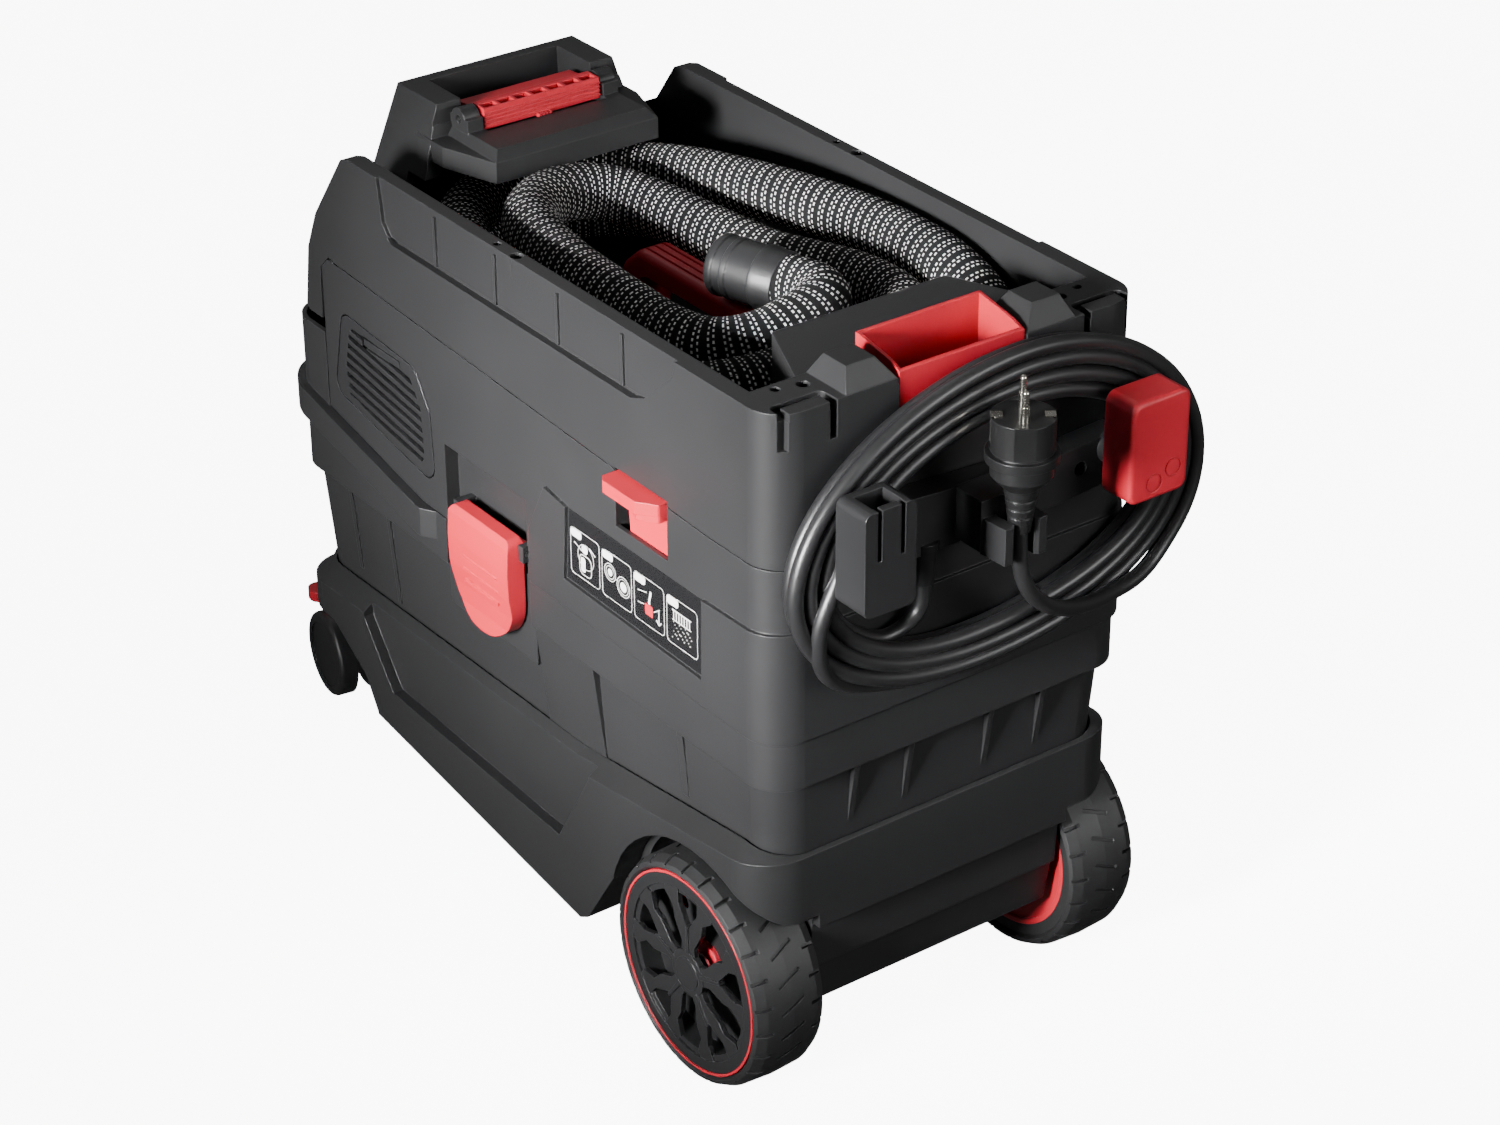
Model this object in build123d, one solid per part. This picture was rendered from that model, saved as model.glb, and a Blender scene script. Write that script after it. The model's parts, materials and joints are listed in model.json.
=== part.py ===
"""Shop vacuum: a tank on a wheeled chassis, a motor head that latches onto the tank, and a top tray that
carries the hose, with the mains lead wound on two hooks at the back.

Datum used while modelling: X across the machine, +Y to the rear, +Z up, floor at z = 0.  Everything is
moved by FRAME_Y when it is written, which puts the origin under the middle of the machine's footprint.
"""
from build123d import *
import math
import os

# ---------------------------------------------------------------- driving dimensions (mm)
FRAME_Y = 95.5            # moves the modelling datum to the middle of the footprint
BODY_HALF_W = 133.0       # half width of the head and the tray
BODY_REAR = 182.0         # rear face of the head and the tray
BODY_FRONT = -318.0       # front face of the head
TRAY_TOP = 471.0          # rim on which a tool box can stand
TRAY_FLOOR = 372.0        # floor that the hose lies on
WALL = 3.0                # moulded wall
GAP = 0.5                 # gap between neighbouring mouldings

CHASSIS_HALF_W = 138.4
CHASSIS_FRONT = -345.0
CHASSIS_REAR = 178.0
CHASSIS_FLOOR = 88.0      # plate that the tank stands on

WHEEL_Y = 113.7           # rear axle
WHEEL_R = 75.0
WHEEL_OUT = 146.5         # outer face of the rear wheels
WHEEL_IN = 96.5
WELL_HALF_W = 95.0        # inner face of the wheel wells
ARCH_R = 82.0             # tank's arch over the wheel
AXLE_D = 12.0

CASTER_X = 76.0           # swivel axis of the front casters
CASTER_Y = -378.0
CASTER_R = 31.0
CASTER_TRAIL = 20.0       # swivel axis to wheel axis
CASTER_TURN = 8.0         # degrees that each caster is turned at rest
CASTER_STEM_D = 10.0

CORD_D = 9.6              # rubber mains lead
HOSE_D = 36.0             # textile sleeved suction hose

SLEEVE_GAP = 0.05         # radial running clearance of pins and shafts


# ---------------------------------------------------------------- helpers
PARTS = {}


def keep(name, *shapes):
    """Register the solids of one sub-part under its name."""
    solids = []
    for shape in shapes:
        solids += list(shape.solids())
    PARTS[name] = Compound(children=solids) if len(solids) > 1 else solids[0]
    return PARTS[name]


def box(x0, x1, y0, y1, z0, z1):
    """Axis-aligned block between two corners."""
    size = (x1 - x0, y1 - y0, z1 - z0)
    middle = ((x0 + x1) / 2, (y0 + y1) / 2, (z0 + z1) / 2)
    return Pos(*middle) * Box(*size)


def side_plate(points, x0, x1, radius=0.0):
    """Closed (y, z) outline made into a plate from x0 to x1."""
    corners = [(x0, y, z) for y, z in points]
    if radius:
        outline = FilletPolyline(*corners, radius=radius, close=True)
    else:
        outline = Polyline(*corners, close=True)
    return extrude(make_face(outline), x1 - x0, dir=(1, 0, 0))


def front_plate(points, y0, y1, radius=0.0):
    """Closed (x, z) outline made into a plate from y0 to y1."""
    corners = [(x, y0, z) for x, z in points]
    if radius:
        outline = FilletPolyline(*corners, radius=radius, close=True)
    else:
        outline = Polyline(*corners, close=True)
    return extrude(make_face(outline), y1 - y0, dir=(0, 1, 0))


def plan_plate(points, z0, z1, radius=0.0):
    """Closed (x, y) outline made into a plate from z0 to z1."""
    corners = [(x, y, z0) for x, y in points]
    if radius:
        outline = FilletPolyline(*corners, radius=radius, close=True)
    else:
        outline = Polyline(*corners, close=True)
    return extrude(make_face(outline), z1 - z0, dir=(0, 0, 1))


def plan_section(half_w, y0, y1, z, radius):
    """Rounded rectangle in plan at height z."""
    sketch = RectangleRounded(2 * half_w, y1 - y0, radius)
    return Pos(0, (y0 + y1) / 2, z) * sketch


def square_front(half_w, y0, y1, z0, z1, radius):
    """Block with rounded corners at the rear only."""
    corners = [(-half_w, y0), (half_w, y0), (half_w, y1), (-half_w, y1)]
    face = make_face(Polyline(*[(x, y, z0) for x, y in corners], close=True))
    rear_corners = face.vertices().sort_by(Axis.Y)[-2:]
    return extrude(fillet(rear_corners, radius), z1 - z0, dir=(0, 0, 1))


def tapered(lower, upper):
    """Drafted block between two (half_w, y0, y1, z, radius) plan sections."""
    return loft([plan_section(*lower), plan_section(*upper)])


def rod(radius, start, end):
    """Round bar between two points."""
    start, end = Vector(*start), Vector(*end)
    axis = end - start
    plane = Plane(origin=start, z_dir=axis)
    return extrude(plane * Circle(radius), axis.length)


def tube(outer, inner, start, end):
    """Round pipe between two points."""
    start, end = Vector(*start), Vector(*end)
    axis = end - start
    plane = Plane(origin=start, z_dir=axis)
    return extrude(plane * (Circle(outer) - Circle(inner)), axis.length)


def mirrored(shape):
    """The same shape on the other side of the machine."""
    return mirror(shape, Plane.YZ)


def turned(shape, degrees, origin, direction):
    """Shape turned about an axis."""
    return shape.rotate(Axis(origin, direction), degrees)


# ---------------------------------------------------------------- lines shared by the shells
def rim_height(y):
    """Height of the joint between tank and head: it falls from the front to the latches, then runs level."""
    front_y, front_z = -344.0, 293.0
    knee_y, knee_z = -185.0, 261.0
    if y >= knee_y:
        return knee_z
    return knee_z + (front_z - knee_z) * (knee_y - y) / (knee_y - front_y)


def seam_height(y):
    """Height of the joint between head and tray."""
    return 374.0 + max(0.0, 120.0 - y) * 0.0435


RIM_Y = (-380.0, -185.0, 240.0)
SEAM_Y = (-400.0, 120.0, 240.0)
COLLAR_REAR = -297.5       # the tank's front collar ends here
COLLAR_TOP = 337.0


def below_rim(drop):
    """Everything under the tank's rim line, lowered by drop."""
    line = [(y, rim_height(y) - drop) for y in RIM_Y]
    return side_plate([(RIM_Y[0], 0.0)] + line + [(RIM_Y[-1], 0.0)], -200, 200)


def above_rim(rise):
    """Everything over the tank's rim line, raised by rise."""
    line = [(y, rim_height(y) + rise) for y in RIM_Y]
    return side_plate([(RIM_Y[0], 600.0)] + line + [(RIM_Y[-1], 600.0)], -200, 200)


def below_seam(drop):
    """Everything under the seam between head and tray, lowered by drop."""
    line = [(y, seam_height(y) - drop) for y in SEAM_Y]
    return side_plate([(SEAM_Y[0], 0.0)] + line + [(SEAM_Y[-1], 0.0)], -200, 200)


def above_seam(rise):
    """Everything over the seam between head and tray, raised by rise."""
    line = [(y, seam_height(y) + rise) for y in SEAM_Y]
    return side_plate([(SEAM_Y[0], 600.0)] + line + [(SEAM_Y[-1], 600.0)], -200, 200)


# ---------------------------------------------------------------- chassis
SHELF_KNEE = (-20.0, 151.0)      # (y, z) where the shelf's edge starts to climb
SHELF_FRONT_Z = 144.5
SHELF_REAR_Z = 178.0
SHELF_PITCH = 0.67               # rise over run of the sloping shelf


def shelf_tent(other_y, other_z):
    """Everything under a shelf whose edge runs from the knee to another point of the side line."""
    knee_y, knee_z = SHELF_KNEE
    slope = math.degrees(math.atan2(other_z - knee_z, other_y - knee_y))
    if other_y < knee_y:
        slope -= 180.0
    spread = 20.0
    y0, y1 = CHASSIS_FRONT - knee_y, CHASSIS_REAR - knee_y
    low = plan_section(CHASSIS_HALF_W + spread, y0 - spread, y1 + spread, -spread * SHELF_PITCH, 50)
    high = plan_section(CHASSIS_HALF_W - spread, y0 + spread, y1 - spread, spread * SHELF_PITCH, 10)
    under = box(-160, 160, y0 - 30, y1 + 30, -160, -spread * SHELF_PITCH)
    tent = loft([low, high]) + under
    tent = tent.rotate(Axis.X, slope)
    return Pos(0, knee_y, knee_z) * tent


def chassis():
    """Skirted base with a sloping shelf round the tank, wheel arches, axle tunnel and caster bosses."""
    block = extrude(plan_section(CHASSIS_HALF_W, CHASSIS_FRONT, CHASSIS_REAR, 40, 30), 160)
    front_half = box(-200, 200, -400, SHELF_KNEE[0], 0, 300)
    rear_half = box(-200, 200, SHELF_KNEE[0], 300, 0, 300)
    front = block & front_half & shelf_tent(CHASSIS_FRONT, SHELF_FRONT_Z)
    rear = block & rear_half & shelf_tent(CHASSIS_REAR, SHELF_REAR_Z)
    body = front + rear
    # the skirt rises over the casters, falls to a tip ahead of the wheel and arches over the wheel
    arch = [(WHEEL_Y + 91 * math.cos(math.radians(a)), 68 + 91 * math.sin(math.radians(a)))
            for a in range(165, 44, -8)]
    skirt_line = [(-400, 20), (-400, 124), (-302, 122), (-264, 97), (-250, 73), (-12, 42), (-3, 47)]
    skirt_cut = side_plate(skirt_line + arch + [(186, 123), (240, 123), (240, 20)],
                          WELL_HALF_W, 200)
    body = body - skirt_cut - mirrored(skirt_cut)
    belly = [(-400, 20), (-400, 80), (-290, 80), (-230, 66), (30, 56), (160, 56), (172, 123), (240, 123), (240, 20)]
    body = body - side_plate(belly, -WELL_HALF_W, WELL_HALF_W)
    # recessed side panels with a sloping floor ledge
    panel = side_plate([(-262, 190), (-262, 143), (-229, 100), (-33, 93), (2, 152), (2, 190)], 131, 160)
    body = body - panel - mirrored(panel)
    # nose that carries the casters
    nose = plan_plate([(-93, -330), (-93, -380), (-79, -394), (79, -394), (93, -380), (93, -330)], 80, 121, 7)
    body = body + nose
    # pocket for the tank, and the hollow underneath
    body = body - tapered((118.6, -331.6, 169.6, CHASSIS_FLOOR, 22), (127.2, -338.3, 176.2, 190, 24))
    hollow = plan_section(88, -280, 62, 40, 16)
    body = body - extrude(hollow, CHASSIS_FLOOR - 4 - 40)
    # axle tunnel
    body = body + rod(13, (-WELL_HALF_W, WHEEL_Y, WHEEL_R), (WELL_HALF_W, WHEEL_Y, WHEEL_R))
    body = body - rod(AXLE_D / 2 + SLEEVE_GAP, (-120, WHEEL_Y, WHEEL_R), (120, WHEEL_Y, WHEEL_R))
    # sockets of the casters
    for side in (-1, 1):
        foot = (side * CASTER_X, CASTER_Y, 60)
        top = (side * CASTER_X, CASTER_Y, 112)
        body = body - rod(CASTER_STEM_D / 2 + SLEEVE_GAP, foot, top)
    return body


# ---------------------------------------------------------------- rear wheels
def tyre():
    """Rubber tyre with staggered shoulder blocks, wheel axis on X at the origin, outer face at x = 0."""
    width = WHEEL_OUT - WHEEL_IN
    bore_r = 59.0
    half = width / 2
    profile = [(bore_r, -3), (66, -3), (68, 0), (71, -1), (74, -7), (WHEEL_R, -half)]
    outline = [(x, r) for r, x in profile]
    outline += [(-width - x, r) for x, r in reversed(outline[:-1])]
    face = make_face(Polyline(*[(x, 0, r) for x, r in outline], close=True))
    body = revolve(face, Axis.X, 360)
    # tread: shallow cross grooves and offset shoulder slots
    cuts = []
    blocks = 26
    for i in range(blocks):
        angle = 360 / blocks * i
        groove = Pos(-half, 0, WHEEL_R) * Rot(0, 0, 24) * Box(18, 2.2, 3.6)
        slot_a = Pos(-5, 0, WHEEL_R - 1.5) * Box(12, 2.4, 7)
        slot_b = Pos(-width + 5, 0, WHEEL_R - 1.5) * Box(12, 2.4, 7)
        cuts.append(groove.rotate(Axis.X, angle))
        cuts.append(slot_a.rotate(Axis.X, angle + 3))
        cuts.append(slot_b.rotate(Axis.X, angle - 3))
    return body - cuts


def wheel_ring(outer, inner, x0, x1):
    """Ring about the wheel's axis, with x measured from the wheel's outer face."""
    return tube(outer, inner, (x0, 0, 0), (x1, 0, 0))


def rear_rim(width):
    """Red wheel body: barrel, outer flange with a raised lip, ribbed inner web and hub."""
    bore = AXLE_D / 2 + SLEEVE_GAP
    rim = wheel_ring(58.9, 55.5, -width + 3, -5.6)
    rim = rim + wheel_ring(66.0, 56.0, -8.0, -5.6) + wheel_ring(66.0, 64.4, -8.0, -0.9)
    rim = rim + wheel_ring(57.0, bore, -width + 6, -width + 10)
    rim = rim + wheel_ring(15.0, bore, -width + 1.5, -14.6)
    for i in range(5):
        rib = box(-width + 8, -width + 22, -2, 2, 14, 56.5)
        rim = rim + rib.rotate(Axis.X, 72 * i + 36)
    return rim


def rear_wheel_cover():
    """Black cover: outer band, five forked spokes, centre cap and a dished backing with small windows."""
    cover = wheel_ring(64.2, 57.0, -5.4, -1.4) + wheel_ring(58.0, 53.0, -5.4, -3.2)
    cover = cover + wheel_ring(55.0, 53.0, -18.0, -4.0) + wheel_ring(55.0, 17.0, -18.0, -16.4)
    cap = rod(15.5, (-5.4, 0, 0), (-1.2, 0, 0)) + rod(11, (-2.0, 0, 0), (-0.4, 0, 0))
    cover = cover + cap
    face_x = -5.4
    for i in range(5):
        stem = [(-6.5, 10), (6.5, 10), (6.0, 31), (-6.0, 31)]
        right = [(-1.0, 29), (6.0, 20), (13.5, 33), (14.5, 41), (24.0, 48), (22.5, 55.5), (10.0, 57), (9.5, 46)]
        left = [(-y, z) for y, z in right]
        spoke = side_plate(stem, face_x, face_x + 3.4)
        spoke = spoke + side_plate(right, face_x, face_x + 3.4)
        spoke = spoke + side_plate(left, face_x, face_x + 3.4)
        ridge = side_plate([(-1.6, 14), (1.6, 14), (1.0, 34), (-1.0, 34)], face_x, face_x + 4.4)
        window = rod(4.5, (-20, 0, 40), (-15, 0, 40)).rotate(Axis.X, 36)
        cover = cover + (spoke + ridge).rotate(Axis.X, 72 * i) - window.rotate(Axis.X, 72 * i)
    return cover


def rear_wheel_parts(side):
    """Tyre, red rim and black spoked cover of one rear wheel, side +1 or -1."""
    width = WHEEL_OUT - WHEEL_IN
    rubber = tyre() - rod(66.4, (-8.3, 0, 0), (0.1, 0, 0))
    placed = []
    for shape in (rubber, rear_rim(width), rear_wheel_cover()):
        if side < 0:
            shape = mirrored(shape)
        placed.append(Pos(side * WHEEL_OUT, WHEEL_Y, WHEEL_R) * shape)
    return placed


AXLE_REACH = WHEEL_OUT - 13.0


def rear_axle():
    """Steel rod through the chassis and both wheels."""
    return rod(AXLE_D / 2, (-AXLE_REACH, WHEEL_Y, WHEEL_R), (AXLE_REACH, WHEEL_Y, WHEEL_R))


def axle_clips():
    """Push-on clips that keep the wheels on the axle."""
    clips = []
    for side in (-1, 1):
        x0 = side * AXLE_REACH
        x1 = side * (AXLE_REACH + 1.6)
        clips.append(rod(9.0, (x0, WHEEL_Y, WHEEL_R), (x1, WHEEL_Y, WHEEL_R)))
    return clips


# ---------------------------------------------------------------- front casters
CASTER_WHEEL_W = 13.0
CASTER_HOOD_W = 15.0
CASTER_TOP = 74.0
BRAKE_PIN = (-26.0, 64.0)      # (y, z) from the swivel axis


def caster_place(shape, side):
    """Put a caster, modelled with its swivel axis at the origin and trailing along -Y, under the nose."""
    turned_shape = shape.rotate(Axis.Z, -CASTER_TURN)
    placed = Pos(CASTER_X, CASTER_Y, 0) * turned_shape
    return mirrored(placed) if side < 0 else placed


def caster_parts():
    """Hood with stem, axle, two wheels and brake pedal of one caster."""
    hood_side = [(-CASTER_TRAIL - 21, CASTER_R + 2), (-CASTER_TRAIL - 19, CASTER_R + 17),
                 (-CASTER_TRAIL - 4, CASTER_R + 31), (4, CASTER_TOP - 3), (13, CASTER_TOP - 3),
                 (13, CASTER_TOP - 16), (0, CASTER_R + 8), (-CASTER_TRAIL + 12, CASTER_R - 8),
                 (-CASTER_TRAIL - 10, CASTER_R - 8)]
    half = CASTER_HOOD_W / 2
    hood = side_plate(hood_side, -half, half, 3.0)
    collar = rod(13, (0, 0, CASTER_TOP - 11), (0, 0, CASTER_TOP - 1))
    stem = rod(CASTER_STEM_D / 2, (0, 0, CASTER_TOP - 6), (0, 0, 108))
    axle_hole = rod(4.05, (-40, -CASTER_TRAIL, CASTER_R), (40, -CASTER_TRAIL, CASTER_R))
    hood = hood + collar + stem - axle_hole
    slot = box(-4.6, 4.6, -CASTER_TRAIL - 40, -CASTER_TRAIL - 2, CASTER_R + 18, CASTER_TOP + 4)
    hood = hood - slot
    axle = rod(4.0, (-half - CASTER_WHEEL_W + 2, -CASTER_TRAIL, CASTER_R),
               (half + CASTER_WHEEL_W - 2, -CASTER_TRAIL, CASTER_R))
    wheels = []
    for side in (-1, 1):
        x0 = side * (half + 0.5)
        x1 = side * (half + 0.5 + CASTER_WHEEL_W)
        wheel = rod(CASTER_R, (x0, -CASTER_TRAIL, CASTER_R), (x1, -CASTER_TRAIL, CASTER_R))
        outer_edge = wheel.edges().filter_by(GeomType.CIRCLE).sort_by(Axis.X)
        wheel = fillet(outer_edge[-1] if side > 0 else outer_edge[0], 3.5)
        dish = rod(CASTER_R - 7, (x1 - side * 1.2, -CASTER_TRAIL, CASTER_R),
                   (x1 + side * 1, -CASTER_TRAIL, CASTER_R))
        bore = rod(4.05, (x0 - side, -CASTER_TRAIL, CASTER_R),
                   (x1 - side * 1.9, -CASTER_TRAIL, CASTER_R))
        wheels.append(wheel - dish - bore)
    # brake pedal: rocks on a cross pin between the hood's cheeks
    pin_y, pin_z = BRAKE_PIN
    arm = side_plate([(-45, CASTER_TOP - 0.5), (-45, CASTER_TOP - 8.5), (pin_y + 3, pin_z - 4),
                      (pin_y + 3, pin_z + 4)], -4.0, 4.0)
    tab = plan_plate([(-21, -33), (-21, -49), (21, -49), (21, -33)], CASTER_TOP - 8.5, CASTER_TOP - 0.5, 7)
    pin = rod(1.8, (-half, pin_y, pin_z), (half, pin_y, pin_z))
    hood = hood - rod(1.85, (-40, pin_y, pin_z), (40, pin_y, pin_z))
    return hood, axle, wheels, arm + tab + pin


# ---------------------------------------------------------------- tank
def tank():
    """Open-topped tank: drafted lower body with ribs, straight upper band, front collar and side flanges."""
    lower = tapered((118.0, -331.0, 169.0, CHASSIS_FLOOR + GAP, 21), (128.5, -339.0, 176.5, 229, 23))
    upper = extrude(plan_section(133.5, -344.5, 182.5, 229, 24), 122)
    # vertical pilasters and ribs that stand out of the drafted lower wall, flush with the upper band
    ribs = []
    for y0, y1, z0 in ((-60, 2, 150), (84, 90, 180), (-287, -283, 165), (-240, -236, 160)):
        out = 1.5 if y1 - y0 < 10 else 0.0
        for sign in (-1, 1):
            low = (sign * (117.5 + (z0 - CHASSIS_FLOOR) * 0.0745 - 2))
            rib = front_plate([(low, z0), (low + sign * 3.2, z0), (sign * (133.0 - out * 2), 229),
                               (sign * 122, 229)], y0, y1)
            ribs.append(rib)
    for x in (-70, -30, 30, 70):
        ribs.append(side_plate([(169, 176), (172.5, 176), (181.0, 229), (174, 229)], x - 2, x + 2))
    port = rod(37.0, (0, PORT_FACE, INLET_Z), (0, -320, INLET_Z))
    outer = lower + upper + ribs + port
    # side flanges that stand proud under the sloping part of the rim
    flange_plan = extrude(plan_section(139.5, -350.0, 200.0, 240, 30), 80)
    ends = box(-200, 200, -400, -170, 0, 400)
    flange = (flange_plan & ends & below_rim(0)) - below_rim(20)
    nose_round = plan_plate([(-144, -400), (-144, -188), (-133, -170), (133, -170), (144, -188),
                             (144, -400)], 200, 340)
    outer = outer + (flange & nose_round)
    # trim the top: the front collar stands higher than the rim
    collar_zone = box(-200, 200, -400, COLLAR_REAR, 200, COLLAR_TOP)
    outer = outer & (below_rim(0) + collar_zone)
    # latch landings: shallow recesses beside the latches
    for sign in (-1, 1):
        x0, x1 = sorted((sign * 130.8, sign * 144))
        outer = outer - box(x0, x1, RECESS_Y[0] - 2, RECESS_Y[1] + 2, 203, 262)
    # inside
    inner = tapered((114.8, -328.0, 166.0, CHASSIS_FLOOR + GAP + WALL, 18), (125.3, -336.0, 173.5, 229, 20))
    inner_top = extrude(plan_section(130.3, -341.3, 179.3, 229, 21), 130)
    for sign in (-1, 1):
        well = [(sign * WELL_HALF_W, WHEEL_Y, WHEEL_R), (sign * 200, WHEEL_Y, WHEEL_R)]
        shell = [(sign * (WELL_HALF_W - WALL), WHEEL_Y, WHEEL_R), (sign * 200, WHEEL_Y, WHEEL_R)]
        outer = outer - rod(ARCH_R, *well)
        inner = inner - rod(ARCH_R + WALL, *shell)
    body = outer - inner - inner_top
    # thicken behind the latch landings
    for sign in (-1, 1):
        x0, x1 = sorted((sign * 127.4, sign * 130.8))
        body = body + box(x0, x1, RECESS_Y[0] - 4, RECESS_Y[1] + 4, 200, 252)
    # hole for the hose inlet
    body = body - rod(INLET_R + 6.0, (0, -370, INLET_Z), (0, -320, INLET_Z))
    return body


INLET_R = 19.0
INLET_Z = 192.0
PORT_FACE = -339.5         # face of the tank's boss round the hose inlet
LATCH_Y0 = -139.0
LATCH_Y1 = -69.0
RECESS_Y = (-157.0, -66.0)       # latch recess in the head, wider than the latch towards the front


def hose_inlet():
    """Flanged port in the tank's front wall that takes the hose cuff."""
    flange = tube(INLET_R + 14, INLET_R, (0, PORT_FACE - 6, INLET_Z), (0, PORT_FACE, INLET_Z))
    spigot = tube(INLET_R + 5.9, INLET_R, (0, PORT_FACE - 1, INLET_Z), (0, -317, INLET_Z))
    lugs = []
    for angle in (45, 135, 225, 315):
        lug = rod(2.2, (0, PORT_FACE - 7.5, INLET_Z), (0, PORT_FACE - 6, INLET_Z))
        lug = Pos((INLET_R + 10) * math.cos(math.radians(angle)), 0,
                  (INLET_R + 10) * math.sin(math.radians(angle))) * lug
        lugs.append(lug)
    return flange + spigot + lugs


def inlet_deflector():
    """Elbow that turns the incoming air down into the tank."""
    collar = tube(INLET_R + 9.0, INLET_R + 6.2, (0, -331, INLET_Z), (0, -314, INLET_Z))
    hood = box(-28, 28, -316, -270, INLET_Z - 28, INLET_Z + 28)
    hood = hood - box(-25, 25, -316.1, -273, INLET_Z - 30, INLET_Z + 25)
    return collar + hood


def rim_seal():
    """Soft ring that follows the rim line under the head."""
    ring = extrude(plan_section(129.8, -291.0, 178.8, 200, 20) - plan_section(125.5, -286.7, 174.5, 200, 16), 150)
    return (ring & below_rim(2.2)) - below_rim(7.2)


# ---------------------------------------------------------------- head
HEAD_FRONT = -297.0
BAND_OUT = 2.6             # how far the lower band stands out of the head


def head_shell():
    """Four-sided motor housing between the tank's rim and the tray, with recesses for the fittings."""
    outer = square_front(BODY_HALF_W, HEAD_FRONT, BODY_REAR, 230, 430, 22)
    # raised lower band that wraps the rear corner and ends in an arrow-shaped pad beside the latch
    band_line = [(-60, 250), (-60, 299), (-42, 335), (-20, 331.5), (121, 332), (240, 335), (240, 250)]
    band_plan = extrude(plan_section(BODY_HALF_W + BAND_OUT, HEAD_FRONT - 20, BODY_REAR + BAND_OUT, 240, 24), 120)
    outer = outer + (band_plan & side_plate(band_line, -200, 200))
    body = (outer & above_rim(0.8)) & below_seam(0.4)
    body = body - side_plate([(-300, 380.9), (-287.4, 393), (-287.4, 400), (-300, 400)], -200, 200)
    cavity = square_front(BODY_HALF_W - WALL, HEAD_FRONT + WALL, BODY_REAR - WALL, 200, 460, 19)
    body = body - cavity
    for sign in (-1, 1):
        # latch recess with its own back wall
        pocket_y0, pocket_y1 = RECESS_Y
        back = box(*sorted((sign * 120.5, sign * 130.5)), pocket_y0 - 3, pocket_y1 + 3, 262, 318)
        body = body + (back & above_rim(0.8))
        body = body - box(*sorted((sign * 123.5, sign * 144)), pocket_y0, pocket_y1, 240, 315)
        for ear_y0, ear_y1 in latch_ears():
            ear = box(*sorted((sign * 122.0, sign * 136.8)), ear_y0, ear_y1, 272.5, 283.5)
            body = body + ear
            bore = rod(2.0, (sign * LATCH_PIN[0], ear_y0 - 1, LATCH_PIN[1]),
                       (sign * LATCH_PIN[0], ear_y1 + 1, LATCH_PIN[1]))
            body = body - bore
        # seat for the vent cover
        seat = side_plate(VENT_OUTLINE, *sorted((sign * 127.5, sign * 131)), 12)
        body = body + (seat & box(-200, 200, HEAD_FRONT + 1, 0, 0, 400))
        opening = side_plate(VENT_OUTLINE, *sorted((sign * 129.4, sign * 144)), 11)
        body = body - opening
        window = side_plate([(y * 0.82 - 41.5, z * 0.82 + 57.6) for y, z in VENT_OUTLINE],
                            *sorted((sign * 122, sign * 144)), 9)
        body = body - window
        # label recess, open at the band's upper edge
        label = side_plate([(-18.4, 340), (-22.5, 281.5), (118, 279), (119, 340)],
                           *sorted((sign * BODY_HALF_W, sign * 144)))
        body = body - label
    body = body - rod(22.6, (SOCKET_X, HEAD_FRONT - 5, PANEL_Z), (SOCKET_X, HEAD_FRONT + 5, PANEL_Z))
    # slot for the filter lever, right-hand side only
    body = body - box(124, 144, LEVER_Y0 - 2, LEVER_Y1 + 1, 340.5, 390)
    lever_back = box(116.5, 119.5, LEVER_Y0 - 5, LEVER_Y1 + 5, 320, 372)
    lever_back = lever_back + box(116.5, 131, LEVER_Y0 - 5, LEVER_Y0 - 2, 320, 372)
    lever_back = lever_back + box(116.5, 131, LEVER_Y1 + 2, LEVER_Y1 + 5, 320, 372)
    lever_back = lever_back + box(116.5, 131, LEVER_Y0 - 5, LEVER_Y1 + 5, 320, 323)
    body = body + lever_back
    return body


VENT_OUTLINE = [(-289, 300), (-276, 361), (-188, 355), (-172, 330), (-169, 279)]
LEVER_Y0 = 33.0
LEVER_Y1 = 82.0
LEVER_TOP = 378.0


# ---------------------------------------------------------------- inside the head
MOTOR = (0.0, -212.0)            # (x, y) of the motor's axis
FILTER_BOX = (-86.0, 86.0, -34.0, 128.0)
PLATE_Z = 266.0


def motor_plate():
    """Floor of the head: carries motor and filter and closes the tank."""
    plate = extrude(plan_section(119.8, HEAD_FRONT + WALL + GAP, BODY_REAR - WALL - GAP, PLATE_Z, 16), 4)
    x0, x1, y0, y1 = FILTER_BOX
    plate = plate - box(x0 + 8, x1 - 8, y0 + 8, y1 - 8, PLATE_Z - 5, PLATE_Z + 9)
    # the front part follows the sloping rim: lift it clear of the tank's rim line
    plate = plate & box(-200, 200, -205, 300, 200, 400)
    front = extrude(plan_section(119.8, HEAD_FRONT + WALL + GAP, BODY_REAR - WALL - GAP, 292, 16), 4)
    front = front & box(-200, 200, -400, -135, 200, 400)
    riser = box(-118, 118, -139, -135, PLATE_Z, 296)
    plate = (plate & box(-200, 200, -139, 300, 200, 400)) + front + riser
    plate = plate - rod(24, (MOTOR[0], MOTOR[1], 280), (MOTOR[0], MOTOR[1], 300))
    for x, y in head_screw_places():
        plate = plate - rod(2.0, (x, y, PLATE_Z - 1), (x, y, PLATE_Z + 5))
    return plate


def head_screw_places():
    """(x, y) of the screws between motor plate and head."""
    return [(x, y) for x in (-114, 114) for y in (-120, 20, 150)]


def fan_housing():
    """Cup round the impeller, open to the motor plate's intake."""
    x, y = MOTOR
    cup = tube(70, 67.5, (x, y, 296), (x, y, 322))
    floor = tube(70, 24, (x, y, 296), (x, y, 298))
    roof = tube(70, 30, (x, y, 320), (x, y, 322))
    return cup + floor + roof


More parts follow.
